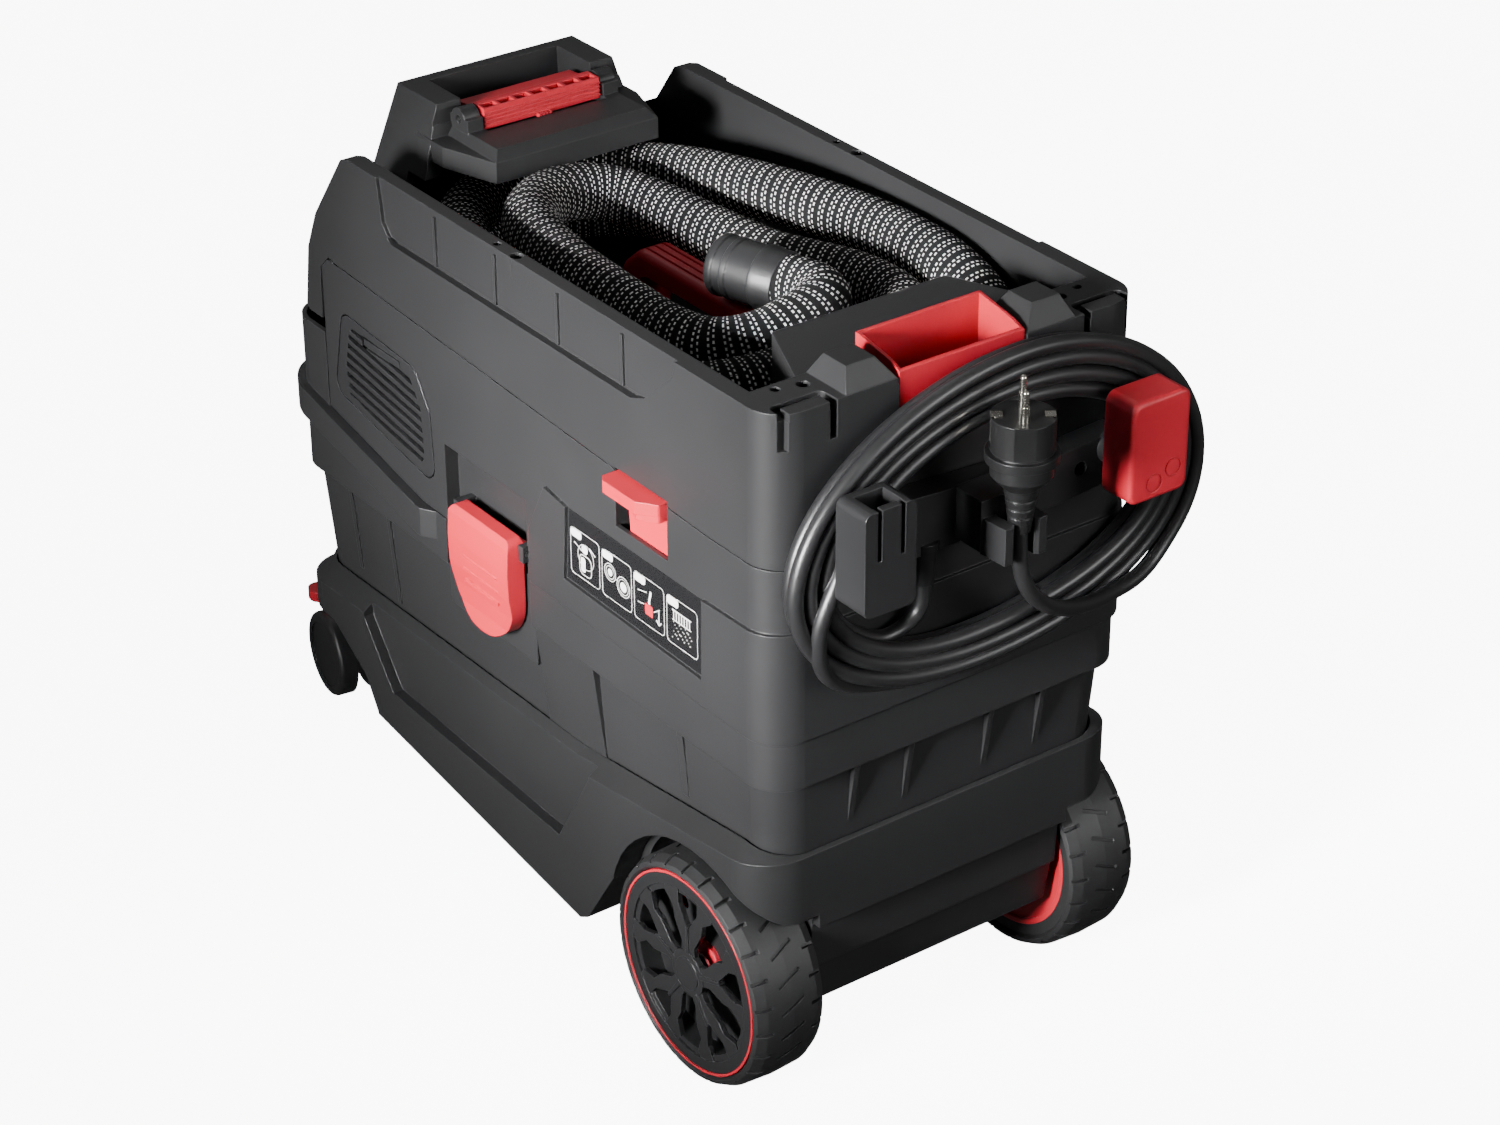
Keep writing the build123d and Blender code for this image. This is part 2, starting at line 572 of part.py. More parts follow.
def fan_impeller():
    """Two discs with curved blades and a hub on the rotor shaft."""
    x, y = 0.0, 0.0
    body = tube(62, 4.0, (x, y, 314), (x, y, 316)) + tube(62, 22, (x, y, 301), (x, y, 302.5))
    body = body + tube(9, 4.0, (x, y, 301), (x, y, 318))
    for i in range(9):
        blade = box(20, 60, -0.8, 0.8, 302, 315)
        body = body + blade.rotate(Axis.Z, 40 * i)
    return Pos(MOTOR[0], MOTOR[1], 0) * body


def motor_stator():
    """Field ring of the motor with its two end brackets."""
    x, y = MOTOR
    ring = tube(52, 27, (x, y, 324), (x, y, 352))
    lower = tube(58, 4.0 + SLEEVE_GAP, (x, y, 322.2), (x, y, 324))
    upper = tube(40, 4.0 + SLEEVE_GAP, (x, y, 352), (x, y, 354))
    return ring + lower + upper


def motor_rotor():
    """Wound rotor on the shaft that drives the impeller."""
    x, y = MOTOR
    core = rod(25, (x, y, 326), (x, y, 350))
    shaft = rod(4.0, (x, y, 301.0), (x, y, 357))
    return core + shaft


def filter_element():
    """Pleated flat filter: a row of folded sheets between two end strips."""
    x0, x1, y0, y1 = FILTER_BOX
    pleats = 18
    pitch = (x1 - x0 - 14) / pleats
    points = []
    for i in range(pleats + 1):
        x = x0 + 7 + pitch * i
        points.append((x, 276.0))
        if i < pleats:
            points.append((x + pitch / 2, 322.0))
    top = [(x, z + 3.5) for x, z in reversed(points)]
    return front_plate(points + top, y0 + 7, y1 - 7)


def filter_frame():
    """Moulded frame that holds the filter on the motor plate."""
    x0, x1, y0, y1 = FILTER_BOX
    outer = box(x0, x1, y0, y1, PLATE_Z + 4, 330)
    inner = box(x0 + 4, x1 - 4, y0 + 4, y1 - 4, PLATE_Z, 340)
    lip = box(x0, x1, y0, y1, PLATE_Z + 4, PLATE_Z + 7) - box(x0 + 10, x1 - 10, y0 + 10, y1 - 10, 200, 400)
    return (outer - inner) + lip


def float_cage():
    """Cage under the motor plate that guides the float."""
    x, y = FLOAT_AT
    cage = tube(24, 21, (x, y, 206), (x, y, PLATE_Z))
    for i in range(4):
        slot = box(-5, 5, 0, 40, 214, 256)
        cage = cage - Pos(x, y, 0) * slot.rotate(Axis.Z, 90 * i)
    foot = tube(24, 8, (x, y, 203), (x, y, 206))
    return cage + foot


FLOAT_AT = (0.0, -100.0)
FLOAT_TRAVEL = 22.0


def float_ball():
    """Hollow float that rises on water and shuts the air off."""
    x, y = FLOAT_AT
    can = rod(19.5, (x, y, 206.3), (x, y, 240)) - rod(17.5, (x, y, 208.3), (x, y, 238))
    return can


def control_board():
    """Printed board behind the front panel, with its heatsink and relay."""
    board = box(-72, 36, -288, -286.4, 342, 370)
    sink = box(-60, -30, -286.4, -274, 346, 368)
    relay = box(10, 34, -286.4, -270, 347, 366)
    cap = rod(7, (-8, -286.4, 356), (-8, -268, 356))
    return [board, sink, relay, cap]


def exhaust_pad(side):
    """Foam pad behind a vent cover."""
    outline = [(y * 0.92 - 18.4, z * 0.92 + 25.6) for y, z in VENT_OUTLINE]
    pad = side_plate(outline, 120.2, 127.2, 8)
    return pad if side > 0 else mirrored(pad)


# ---------------------------------------------------------------- outside of the head
def vent_cover(side):
    """Slatted cover with a snap tab, slats parallel to the tank's rim."""
    inner_line = [(y * 0.975 - 5.8, z * 0.975 + 8.0) for y, z in VENT_OUTLINE]
    cover = side_plate(inner_line, 129.9, 132.9, 10)
    slope = math.degrees(math.atan2(rim_height(-344) - rim_height(-185), 159.0))
    slots = []
    for i in range(9):
        slot = box(128, 135, -50, 50, -1.9, 1.9)
        slots.append(Pos(0, -229.5 + i * 1.2, 347.5 - 7.3 * i) * slot.rotate(Axis.X, -slope * 0.62))
    window = side_plate([(y * 0.80 - 46.2, z * 0.80 + 64.0) for y, z in VENT_OUTLINE], 124, 139, 8)
    for slot in slots:
        cover = cover - (slot & window)
        # snap tab in a notch on the upper edge
    notch = box(131.0, 135, -252, -206, 344.5, 352.5)
    cover = cover - notch
    tab = box(130.0, 132.4, -250, -208, 346, 350.5)
    cover = cover + tab
    return cover if side > 0 else mirrored(cover)


def side_latch(side):
    """Red pull latch: curved plate with a rounded lower end, three finger ridges and a hinge barrel."""
    width_mid = (LATCH_Y0 + LATCH_Y1) / 2
    half = (LATCH_Y1 - LATCH_Y0) / 2 - 1.4
    # outline seen from the side, wide at the top and round at the bottom
    upper = side_plate([(width_mid - half, LATCH_TOP), (width_mid + half, LATCH_TOP),
                        (width_mid + half, LATCH_ROUND_Z), (width_mid - half, LATCH_ROUND_Z)], 132.6, 154.0)
    top_corners = upper.edges().filter_by(Axis.X).group_by(Axis.Z)[-1]
    upper = fillet(top_corners, 6)
    round_plane = Plane(origin=(132.6, width_mid, LATCH_ROUND_Z), x_dir=(0, 1, 0), z_dir=(1, 0, 0))
    plate = upper + extrude(round_plane * Ellipse(half, LATCH_ROUND_Z - 209.0), 21.4)
    # outer face: bulges at the top, hollows under the ridges and curls out at the tip
    face = [(LATCH_TOP, 132), (LATCH_TOP, 142.0), (LATCH_TOP - 5, 144.5), (264, 145.5), (246, 145.0),
            (232, 142.5), (220, 142.0), (211, 144.0), (204, 144.0), (204, 132)]
    bulk = front_plate([(x, z) for z, x in face], LATCH_Y0 - 4, LATCH_Y1 + 4)
    body = plate & bulk
    ridges = []
    for i in range(3):
        z = 256 - 9.0 * i
        bar = rod(1.5, (144.6 - 0.5 * i, width_mid - 17, z), (144.6 - 0.5 * i, width_mid + 21, z))
        ridges.append(bar)
    # hollow the back, leaving two cheeks and the hinge barrel
    hollow = box(132, 140.0, LATCH_Y0 + 8, LATCH_Y1 - 8, 222, LATCH_TOP - 16)
    body = body - hollow + ridges
    barrel = rod(6.0, (LATCH_PIN[0], LATCH_Y0 + 3, LATCH_PIN[1]), (LATCH_PIN[0], LATCH_Y1 - 3, LATCH_PIN[1]))
    body = body + barrel
    bore = rod(2.0 + SLEEVE_GAP, (LATCH_PIN[0], -200, LATCH_PIN[1]), (LATCH_PIN[0], 0, LATCH_PIN[1]))
    body = body - bore
    return body if side > 0 else mirrored(body)


LATCH_TOP = 286.0
LATCH_ROUND_Z = 240.0            # where the latch's sides turn into its round end
LATCH_PIN = (133.5, 278.0)       # (x, z) of the latch's hinge pin


def latch_pins():
    """Steel hinge pins of the two latches."""
    pins = []
    for sign in (-1, 1):
        x = sign * LATCH_PIN[0]
        pins.append(rod(2.0, (x, LATCH_Y0 - 3.4, LATCH_PIN[1]), (x, LATCH_Y1 + 3.4, LATCH_PIN[1])))
    return pins


def latch_ears():
    """Lugs on the head that hold the latch pins: (y0, y1) of each lug."""
    return ((LATCH_Y0 - 4.0, LATCH_Y0 + 1.0), (LATCH_Y1 - 1.0, LATCH_Y1 + 4.0))


def filter_lever():
    """Red lever that shakes the filter: finger shelf outside, plate behind the window."""
    y0, y1 = LEVER_Y0, LEVER_Y1
    shelf = plan_plate([(124, y0), (124, y1), (138, y1), (146.5, y1 - 12), (146.5, y0 + 5),
                        (143, y0)], LEVER_TOP - 8, LEVER_TOP, 2.0)
    nose = plan_plate([(124, y1 - 26), (124, y1), (138, y1), (145.5, y1 - 12), (140, y1 - 26)],
                      LEVER_TOP - 12, LEVER_TOP - 7, 1.5)
    shelf = shelf + nose
    plate = side_plate([(y0 + 8, 334), (y1 - 2, 334), (y1 - 2, 372), (y0 + 5, 372)], 124.0, 129.4)
    return shelf + plate


def front_panel():
    """Control panel on the head's front, with seats for switch, dial and socket."""
    plate = box(-121.0, 121.0, PANEL_Y, PANEL_Y + 5, 341.0, 390.5)
    feet = box(-112, -104, PANEL_Y, HEAD_FRONT - 0.3, 345, 380) + box(104, 112, PANEL_Y, HEAD_FRONT - 0.3, 345, 380)
    body = plate + feet
    for x in (SWITCH_X, DIAL_X):
        body = body - rod(4.0 + SLEEVE_GAP, (x, -320, PANEL_Z), (x, -290, PANEL_Z))
    body = body - rod(22.2, (SOCKET_X, -320, PANEL_Z), (SOCKET_X, -290, PANEL_Z))
    flap_y, flap_z = FLAP_PIN
    for sign in (-1, 1):
        ear = box(*sorted((SOCKET_X + sign * 14, SOCKET_X + sign * 18)), PANEL_Y - 5.5, PANEL_Y,
                  flap_z - 2.8, flap_z + 2.2)
        body = body + ear
    return body - rod(1.5 + SLEEVE_GAP, (SOCKET_X - 20, flap_y, flap_z), (SOCKET_X + 20, flap_y, flap_z))


PANEL_Z = 365.5
PANEL_Y = -305.0           # face of the control panel
FLAP_PIN = (PANEL_Y - 3.0, 387.5)       # (y, z) of the socket lid's hinge pin
SWITCH_X = -62.0
DIAL_X = 0.0
SOCKET_X = 62.0


def knob(x, radius, depth):
    """Turning knob with a pointer ridge and a shaft."""
    back = PANEL_Y - 0.5
    body = rod(radius, (x, back - depth, PANEL_Z), (x, back, PANEL_Z))
    ridge = box(x - 2, x + 2, back - depth - 2.5, back - depth, PANEL_Z - radius + 3, PANEL_Z + radius - 1)
    shaft = rod(4.0, (x, back - 0.5, PANEL_Z), (x, HEAD_FRONT - 1, PANEL_Z))
    for i in range(12):
        flute = rod(1.4, (x, back - 1 - depth, PANEL_Z + radius + 0.4), (x, back - 1.5, PANEL_Z + radius + 0.4))
        body = body - flute.rotate(Axis((x, 0, PANEL_Z), (0, 1, 0)), 30 * i + 15)
    return body + ridge + shaft


def tool_socket():
    """Earthed appliance socket in the panel."""
    front, back = PANEL_Y - 0.6, HEAD_FRONT + 10
    ring = rod(22.0, (SOCKET_X, front, PANEL_Z), (SOCKET_X, back, PANEL_Z))
    well = rod(19.6, (SOCKET_X, front - 1, PANEL_Z), (SOCKET_X, back - 2.5, PANEL_Z))
    body = ring - well
    for sign in (-1, 1):
        hole = rod(2.6, (SOCKET_X + sign * 9.5, back - 4, PANEL_Z), (SOCKET_X + sign * 9.5, back + 1, PANEL_Z))
        body = body - hole
    return body


def socket_flap():
    """Spring lid of the socket, hinged along its top edge."""
    lid = rod(22.6, (SOCKET_X, PANEL_Y - 5, PANEL_Z), (SOCKET_X, PANEL_Y - 1.2, PANEL_Z))
    flap_y, flap_z = FLAP_PIN
    lid = lid + box(SOCKET_X - 13, SOCKET_X + 13, PANEL_Y - 5, PANEL_Y - 1.2, PANEL_Z, flap_z + 1.5)
    lid = lid + rod(1.5, (SOCKET_X - 18, flap_y, flap_z), (SOCKET_X + 18, flap_y, flap_z))
    grip = box(SOCKET_X - 8, SOCKET_X + 8, PANEL_Y - 7.5, PANEL_Y - 5, PANEL_Z - 19.5, PANEL_Z - 16)
    return lid + grip


# ---------------------------------------------------------------- tray
BAY_FRONT = -286.0
BAY_REAR = 88.0
BAY_HALF_W = 121.0
PAN_HALF_W = 111.0
PAN_TOP = 398.0
BAR_TOP = 467.0
BLOCK_BASE = 392.3         # underside of the front block
BLOCK_TOP = 491.0
SLOT_X = 106.5
BOX_FLOOR = 430.6          # underside of the accessory box
LEDGE_REAR = -198.0        # rear edge of the front block's ledge
LEDGE_Z = 456.0            # lower edge of that ledge


def top_tray():
    """Open tray on the head: side walls with ribbed panels, hose bay, rear cross-bar and corner posts."""
    outer = square_front(BODY_HALF_W, -319.5, BODY_REAR, 345, TRAY_TOP, 22)
    side_line = [(-319.5, 349), (-316, 346), (-300.5, 346), (-298.5, 383), (-288, 393), (-284, 393),
                 (-284, 340), (200, 340), (200, TRAY_TOP), (-255, TRAY_TOP), (-265, TRAY_TOP - 3),
                 (-301, 419), (-313, 392)]
    outer = outer & side_plate(side_line, -200, 200)
    ends = box(-200, 200, -400, -284, 300, 600)
    outer = (outer & ends) + (outer & above_seam(0.4) & box(-200, 200, -284, 300, 300, 600))
    # hose bay: wide above, narrower pan below, with pockets beside the cross-bar
    bay_plan = [(-BAY_HALF_W, BAY_FRONT), (BAY_HALF_W, BAY_FRONT), (BAY_HALF_W, 146), (88, 146),
                (62.5, BAY_REAR), (-62.5, BAY_REAR), (-88, 146), (-BAY_HALF_W, 146)]
    bay = plan_plate(bay_plan, PAN_TOP, 600)
    pan_plan = [(-PAN_HALF_W, BAY_FRONT + 3), (PAN_HALF_W, BAY_FRONT + 3), (PAN_HALF_W, 118), (75, 118),
                (62.5, BAY_REAR), (-62.5, BAY_REAR), (-75, 118), (-PAN_HALF_W, 118)]
    pan_outer = [(-PAN_HALF_W - WALL, BAY_FRONT), (PAN_HALF_W + WALL, BAY_FRONT), (PAN_HALF_W + WALL, 121),
                 (-PAN_HALF_W - WALL, 121)]
    # roomy underside so that the tray is a shell
    under = square_front(129.5, -284, 178.5, 300, PAN_TOP - 4, 18.5)
    body = outer - under - bay
    pan = plan_plate(pan_outer, TRAY_FLOOR - 4, PAN_TOP) - plan_plate(pan_plan, TRAY_FLOOR, PAN_TOP + 1)
    body = body + pan
    body = body - plan_plate(pan_plan, TRAY_FLOOR, PAN_TOP + 1)
    body = body - box(124, 144, LEVER_Y0 - 2, LEVER_Y1 + 1, 365, LEVER_TOP + 1.3)
    body = body - block_envelope(0.3)
    # front opening for the control panel
    body = body - box(-122, 122, -330, -291, 300, 391.5)
    # room for the accessory box behind the cross-bar, open to the rear
    body = body - box(-45.5, 45.5, 140, 200, BOX_FLOOR - 0.6, 600)
    bar_trim = plan_plate([(-90, 60), (90, 60), (90, 146), (-90, 146)], BAR_TOP, 600)
    body = body - bar_trim
    body = body - box(-46, 46, 130, 190, BAR_TOP, 600)
    # bevelled blocks beside the accessory box
    for sign in (-1, 1):
        low = Pos(sign * 64, 163.5, TRAY_TOP - 1) * Rectangle(37, 37)
        high = Pos(sign * 66, 163, TRAY_TOP + 13) * Rectangle(20, 20)
        body = body + loft([low, high])
        # inverted U slots on the rear faces, carried over the top edge
        slot = front_plate(inverted_u(sign * SLOT_X, TRAY_TOP + 6, 448), BODY_REAR - 6, BODY_REAR + 4)
        body = body - slot
        over = plan_plate([(sign * SLOT_X - 18.5, BODY_REAR - 15), (sign * SLOT_X + 18.5, BODY_REAR - 15),
                           (sign * SLOT_X + 18.5, BODY_REAR + 2), (sign * SLOT_X - 18.5, BODY_REAR + 2)],
                          TRAY_TOP - 5, TRAY_TOP + 2, 5)
        keep_tab = box(sign * SLOT_X - 13, sign * SLOT_X + 13, BODY_REAR - 10, BODY_REAR + 4, 300, 600)
        body = body - (over - keep_tab)
        # ribbed side panels
        panel = [(-226, 490), (-218, 442), (-208, 431), (48, 431), (62, 436), (90, 460), (96, 490)]
        deep = side_plate(panel, *sorted((sign * 130.4, sign * 144)))
        ribs = []
        for y in (-159, -93, -27, 39):
            ribs.append(box(*sorted((sign * 124, sign * 132.0)), y - 1.2, y + 1.2, 428, TRAY_TOP - 4))
        groove = side_plate([(-214, 434.5), (-208, 431), (48, 431), (58, 434.5), (46, 434.5),
                             (-206, 434.5)], *sorted((sign * 128.0, sign * 144)))
        body = body - deep + [rib & outer for rib in ribs] - groove
        # holes in the rim and in the rear corners
        for x, y, r in ((126, -97, 2.6), (126, -76, 4.2), (108, 152, 3.0), (92, 156, 4.0)):
            body = body - rod(r, (sign * x, y, TRAY_TOP - 14), (sign * x, y, TRAY_TOP + 2))
    return body


def inverted_u(x, top, bottom):
    """Outline of an inverted U slot centred on x."""
    wide, thick = 18.5, 5.0
    outer = [(x - wide, bottom), (x - wide, top), (x + wide, top), (x + wide, bottom)]
    inner = [(x + wide - thick, bottom), (x + wide - thick, top - thick), (x - wide + thick, top - thick),
             (x - wide + thick, bottom)]
    return outer + inner


def block_envelope(gap):
    """Outside of the front block without its ledge, grown by a gap."""
    low = Pos(0, -279.5, BLOCK_BASE - gap) * Rectangle(2 * (98 + gap), 71 + 2 * gap)
    high = Pos(0, -279.5, BLOCK_TOP) * Rectangle(2 * (66.5 + gap), 46 + 2 * gap)
    return loft([low, high])


def front_block():
    """Raised block at the front: recess for the release bar, and a ledge that hoods the hose."""
    block = block_envelope(0.0)
    ledge_low = plan_plate([(-74, -270), (74, -270), (74, -240), (61, LEDGE_REAR), (-61, LEDGE_REAR),
                            (-74, -240)], LEDGE_Z, 470)
    ledge_top = loft([Pos(0, -229, 470) * Rectangle(2 * 61, 62), Pos(0, -229, 476) * Rectangle(2 * 56, 50)])
    ledge_hollow = plan_plate([(-71, -243), (71, -243), (58, LEDGE_REAR - 3), (-58, LEDGE_REAR - 3)], 440, 467)
    ledge = ledge_low + ledge_top - ledge_hollow
    body = block + ledge
    # hand recess, open to the rear above the ledge
    body = body - box(-49, 49, -294, -259, 452, 500)
    body = body - box(-49, 49, -262, -225, 476, 500)
    body = body - box(-90, 90, -256, -225, 478, 500)
    # hollow underneath
    hollow_low = Pos(0, -279.5, 380) * Rectangle(2 * 93, 62)
    hollow_high = Pos(0, -279.5, 448) * Rectangle(2 * 75, 42)
    body = body - loft([hollow_low, hollow_high]) - box(-88, 88, -270, -225, 380, 445)
    # pivot lugs
    for sign in (-1, 1):
        lug = box(*sorted((sign * 45.5, sign * 57)), -259, -236, 470, 484)
        lug = lug + rod(7.5, (sign * 45.5, RELEASE_PIN[0], RELEASE_PIN[1]),
                        (sign * 57, RELEASE_PIN[0], RELEASE_PIN[1]))
        body = body + lug
    body = body - rod(3.0, (-60, RELEASE_PIN[0], RELEASE_PIN[1]), (60, RELEASE_PIN[0], RELEASE_PIN[1]))
    body = body - box(-44.8, 44.8, -262, -232, 466, 500) + box(-44.8, 44.8, -262, -232, 464, 470)
    return body


RELEASE_PIN = (-247.0, 482.0)    # (y, z)


def release_bar():
    """Red spring bar that frees a stacked box: seven pockets, a ribbed front and a lever behind."""
    y, z = RELEASE_PIN
    bar = box(-43.5, 43.5, y - 4, y + 9, z - 7.5, z + 6.5)
    bar = bar + rod(6.5, (-43.5, y, z), (43.5, y, z))
    for i in range(7):
        x = -36.9 + 12.3 * i
        bar = bar - box(x - 5.1, x + 5.1, y + 0.5, y + 7.6, z + 1.0, z + 10)
    for i in range(4):
        rib_z = z - 5.5 + 2.6 * i
        bar = bar + box(-43.5, 43.5, y + 8.8, y + 10.2, rib_z, rib_z + 1.2)
    lever = side_plate([(y - 2, z - 4), (y - 24, z - 1.5), (y - 24, z + 1.0), (y - 2, z + 3.5)], -42.5, 42.5)
    nubs = [box(x - 0.8, x + 0.8, y + 9, y + 13, z - 8, z - 5.5) for x in (-4, -1.4, 1.4, 4)]
    bar = bar + lever + nubs
    return bar - rod(2.6 + SLEEVE_GAP, (-50, y, z), (50, y, z))


def release_pin():
    """Steel rod on which the release bar turns."""
    y, z = RELEASE_PIN
    return rod(2.6, (-54, y, z), (54, y, z))


HANDLE_Y = (-132.0, 22.0)
SCREW_OFF = 10.6           # from the handle's ends to the screws in its feet
HANDLE_TOP = 428.0


def carry_handle():
    """Red closed loop handle along the middle of the tray, with grooves along its back."""
    y0, y1 = HANDLE_Y
    outer = [(y0 - 8, TRAY_FLOOR), (y0, HANDLE_TOP - 12), (y0 + 14, HANDLE_TOP), (y1 - 14, HANDLE_TOP),
             (y1, HANDLE_TOP - 12), (y1 + 8, TRAY_FLOOR)]
    inner = [(y0 + 11, TRAY_FLOOR - 5), (y0 + 17, HANDLE_TOP - 18), (y0 + 24, HANDLE_TOP - 15),
             (y1 - 24, HANDLE_TOP - 15), (y1 - 17, HANDLE_TOP - 18), (y1 - 11, TRAY_FLOOR - 5)]
    loop = side_plate(outer, -12.5, 12.5)
    loop = fillet(loop.edges().filter_by(Axis.X).group_by(Axis.Z)[-1], 12.0) - side_plate(inner, -20, 20)
    for edge_set in (loop.edges().filter_by(Axis.Y).group_by(Axis.Z)[-1],):
        loop = fillet(edge_set, 5.0)
    grooves = []
    for x in (-6.0, 0.0, 6.0):
        grooves.append(box(x - 0.9, x + 0.9, y0 + 10, y1 - 10, HANDLE_TOP - 2.2, HANDLE_TOP + 2))
    feet = box(-17, 17, y0 - 13.5, y0 + 14, TRAY_FLOOR, TRAY_FLOOR + 4)
    feet = feet + box(-17, 17, y1 - 14, y1 + 13.5, TRAY_FLOOR, TRAY_FLOOR + 4)
    body = loop - grooves + feet
    for y in (y0 - SCREW_OFF, y1 + SCREW_OFF):
        for x in (-12, 12):
            body = body - rod(2.2, (x, y, TRAY_FLOOR - 1), (x, y, TRAY_FLOOR + 6))
    return body


def handle_screws():
    """Four screws through the handle's feet."""
    screws = []
    for y in (HANDLE_Y[0] - SCREW_OFF, HANDLE_Y[1] + SCREW_OFF):
        for x in (-12, 12):
            shank = rod(2.1, (x, y, TRAY_FLOOR + 0.2), (x, y, TRAY_FLOOR + 4.0))
            head = rod(2.8, (x, y, TRAY_FLOOR + 4.0), (x, y, TRAY_FLOOR + 5.8))
            screws.append(shank + head)
    return screws


def accessory_box():
    """Red open-topped box for small parts between the rear posts."""
    profile = [(141.2, BOX_FLOOR), (181.0, BOX_FLOOR), (181.0, 474), (172, 477.5), (141.2, 483)]
    outer = side_plate(profile, -44.5, 44.5)
    inner = box(-42.3, 42.3, 143.4, 178.8, BOX_FLOOR + 2.4, 500)
    return outer - inner


# ---------------------------------------------------------------- cord holder at the back
COIL_X = -14.0
COIL_Z = 376.0
COIL_OUT = (156.0, 105.0)        # half width and half height of the wound lead
COIL_IN = (112.0, 62.0)
COIL_Y0 = 186.0
COIL_Y1 = 206.0
HOOK_Y1 = 238.0
TURN_PIVOT = (-96.0, 392.0)


def cord_bracket():
    """Bar across the head's back with the arms of both hooks and the cord clip."""
    bar = front_plate([(-104, 370), (-104, 400), (-60, 398), (20, 402), (60, 405), (80, 403), (92, 390), (92, 366),
                       (-60, 366)], BODY_REAR + 1.6, 200)
    arm = box(76, 92, 198, 212, 366, 390)
    post = rod(10, (TURN_PIVOT[0], 198, TURN_PIVOT[1]), (TURN_PIVOT[0], 213.6, TURN_PIVOT[1]))
    clip = box(-18, 18, 198, 222, 370, 402)
    prongs = []
    for sign in (-1, 1):
        outline = [(sign * 7.4, 220), (sign * 7.4, 238), (sign * 9.4, 240), (sign * 15, 240), (sign * 16.5, 220)]
        prongs.append(plan_plate(outline, 368, 391))
    gland_boss = box(26, 46, 186, 200, 372, 386)
    body = bar + arm + post + clip + prongs + gland_boss
    body = body - rod(4.5, (-74, 180, 384), (-74, 212, 384))
    body = body - rod(3.0, (TURN_PIVOT[0], 191, TURN_PIVOT[1]), (TURN_PIVOT[0], 216, TURN_PIVOT[1]))
    body = body - rod(8.3, (*GLAND_AT, 360), (*GLAND_AT, 372))
    return body


def fixed_hook():
    """Black hook head with an open pocket and two slots."""
    head = box(76.5, 112, 212, HOOK_Y1, 366, 431)
    long_edges = head.edges().filter_by(Axis.Y)
    head = fillet(long_edges, 5)
    head = head - box(84, 104, 217, 233, 396, 440)
    for x in (84.5, 100.5):
        head = head - box(x, x + 3.0, 226, 242, 400, 440)
    return head


def turn_hook():
    """Red hook head that turns aside to let the coil drop off."""
    head = box(-122, -78, 214.0, HOOK_Y1, 373, 438)
    long_edges = head.edges().filter_by(Axis.Y)
    head = fillet(long_edges, 7)
    rim_edges = head.faces().sort_by(Axis.Y)[-1].edges()
    head = fillet(rim_edges, 3)
    for sign in (-1, 1):
        mark = Pos(-103 + sign * 7, 0, 387 - sign * 3)
        ring = tube(6.0, 5.0, (0, HOOK_Y1 - 0.8, 0), (0, HOOK_Y1 + 1, 0))
        head = head - mark * ring
    head = head - rod(3.0 + SLEEVE_GAP, (TURN_PIVOT[0], 200, TURN_PIVOT[1]), (TURN_PIVOT[0], 226, TURN_PIVOT[1]))
    return head


def hook_pin():
    """Steel pivot of the turning hook."""
    return rod(3.0, (TURN_PIVOT[0], 191, TURN_PIVOT[1]), (TURN_PIVOT[0], 225.5, TURN_PIVOT[1]))


def cord_gland():
    """Tapered strain relief where the lead leaves the machine."""
    x, y = GLAND_AT
    collar = rod(8.0, (x, y, 368), (x, y, 372))
    cone = Pos(x, y, 356.5) * Cone(CORD_D / 2 + 1.2, 7.2, 23)
    sleeve = cone + collar
    for i in range(4):
        ring_z = 348.5 + 4.6 * i
        ring = Pos(x, y, ring_z) * (Cylinder(12, 1.4) - Cylinder(CORD_D / 2 + 0.9 + 0.24 * (ring_z - 345) * 0.8, 3))
        sleeve = sleeve - ring
    return sleeve


GLAND_AT = (36.0, 195.0)


def oval_ring(outer, inner, y0, y1, z):
    """Oval ring standing in the XZ plane."""
    plane = Plane(origin=(COIL_X, y0, z), x_dir=(1, 0, 0), z_dir=(0, -1, 0))
    ring = plane * (Ellipse(*outer) - Ellipse(*inner))
    return extrude(ring, y1 - y0, dir=(0, 1, 0))


def mains_coil():
    """Outer shape of the wound lead."""
    return oval_ring(COIL_OUT, COIL_IN, COIL_Y0, COIL_Y1, COIL_Z)


def route_tube(points, diameter, share=0.45):
    """Tube along straight runs joined by arcs that are as large as the runs allow."""
    points = [Vector(*p) for p in points]
    radii = []
    for before, at, after in zip(points, points[1:], points[2:]):
        turn = math.radians((at - before).get_angle(after - at))
        shorter = min((at - before).length, (after - at).length)
        radii.append(share * shorter / math.tan(turn / 2))
    line = FilletPolyline(*points, radius=radii) if radii else Polyline(*points)
    section = Plane(origin=points[0], z_dir=points[1] - points[0]) * Circle(diameter / 2)
    body = sweep(section, path=line, transition=Transition.ROUND)
    wanted = math.pi * diameter ** 2 / 4 * line.length
    print("tube", round(line.length, 1), "mm, radii", [round(r) for r in radii],
          "volume ratio", round(body.volume / wanted, 4))
    return body


TAIL_ROUTE = [(0, 234, 384), (0, 234, 360), (-11, 233, 337), (-33, 229, 319), (-62, 221, 307),
              (-92, 211.2, 302)]
PLUG_TURN = 53.7                 # degrees from X of the line through the pins
PLUG_FACE_Z = 456.0


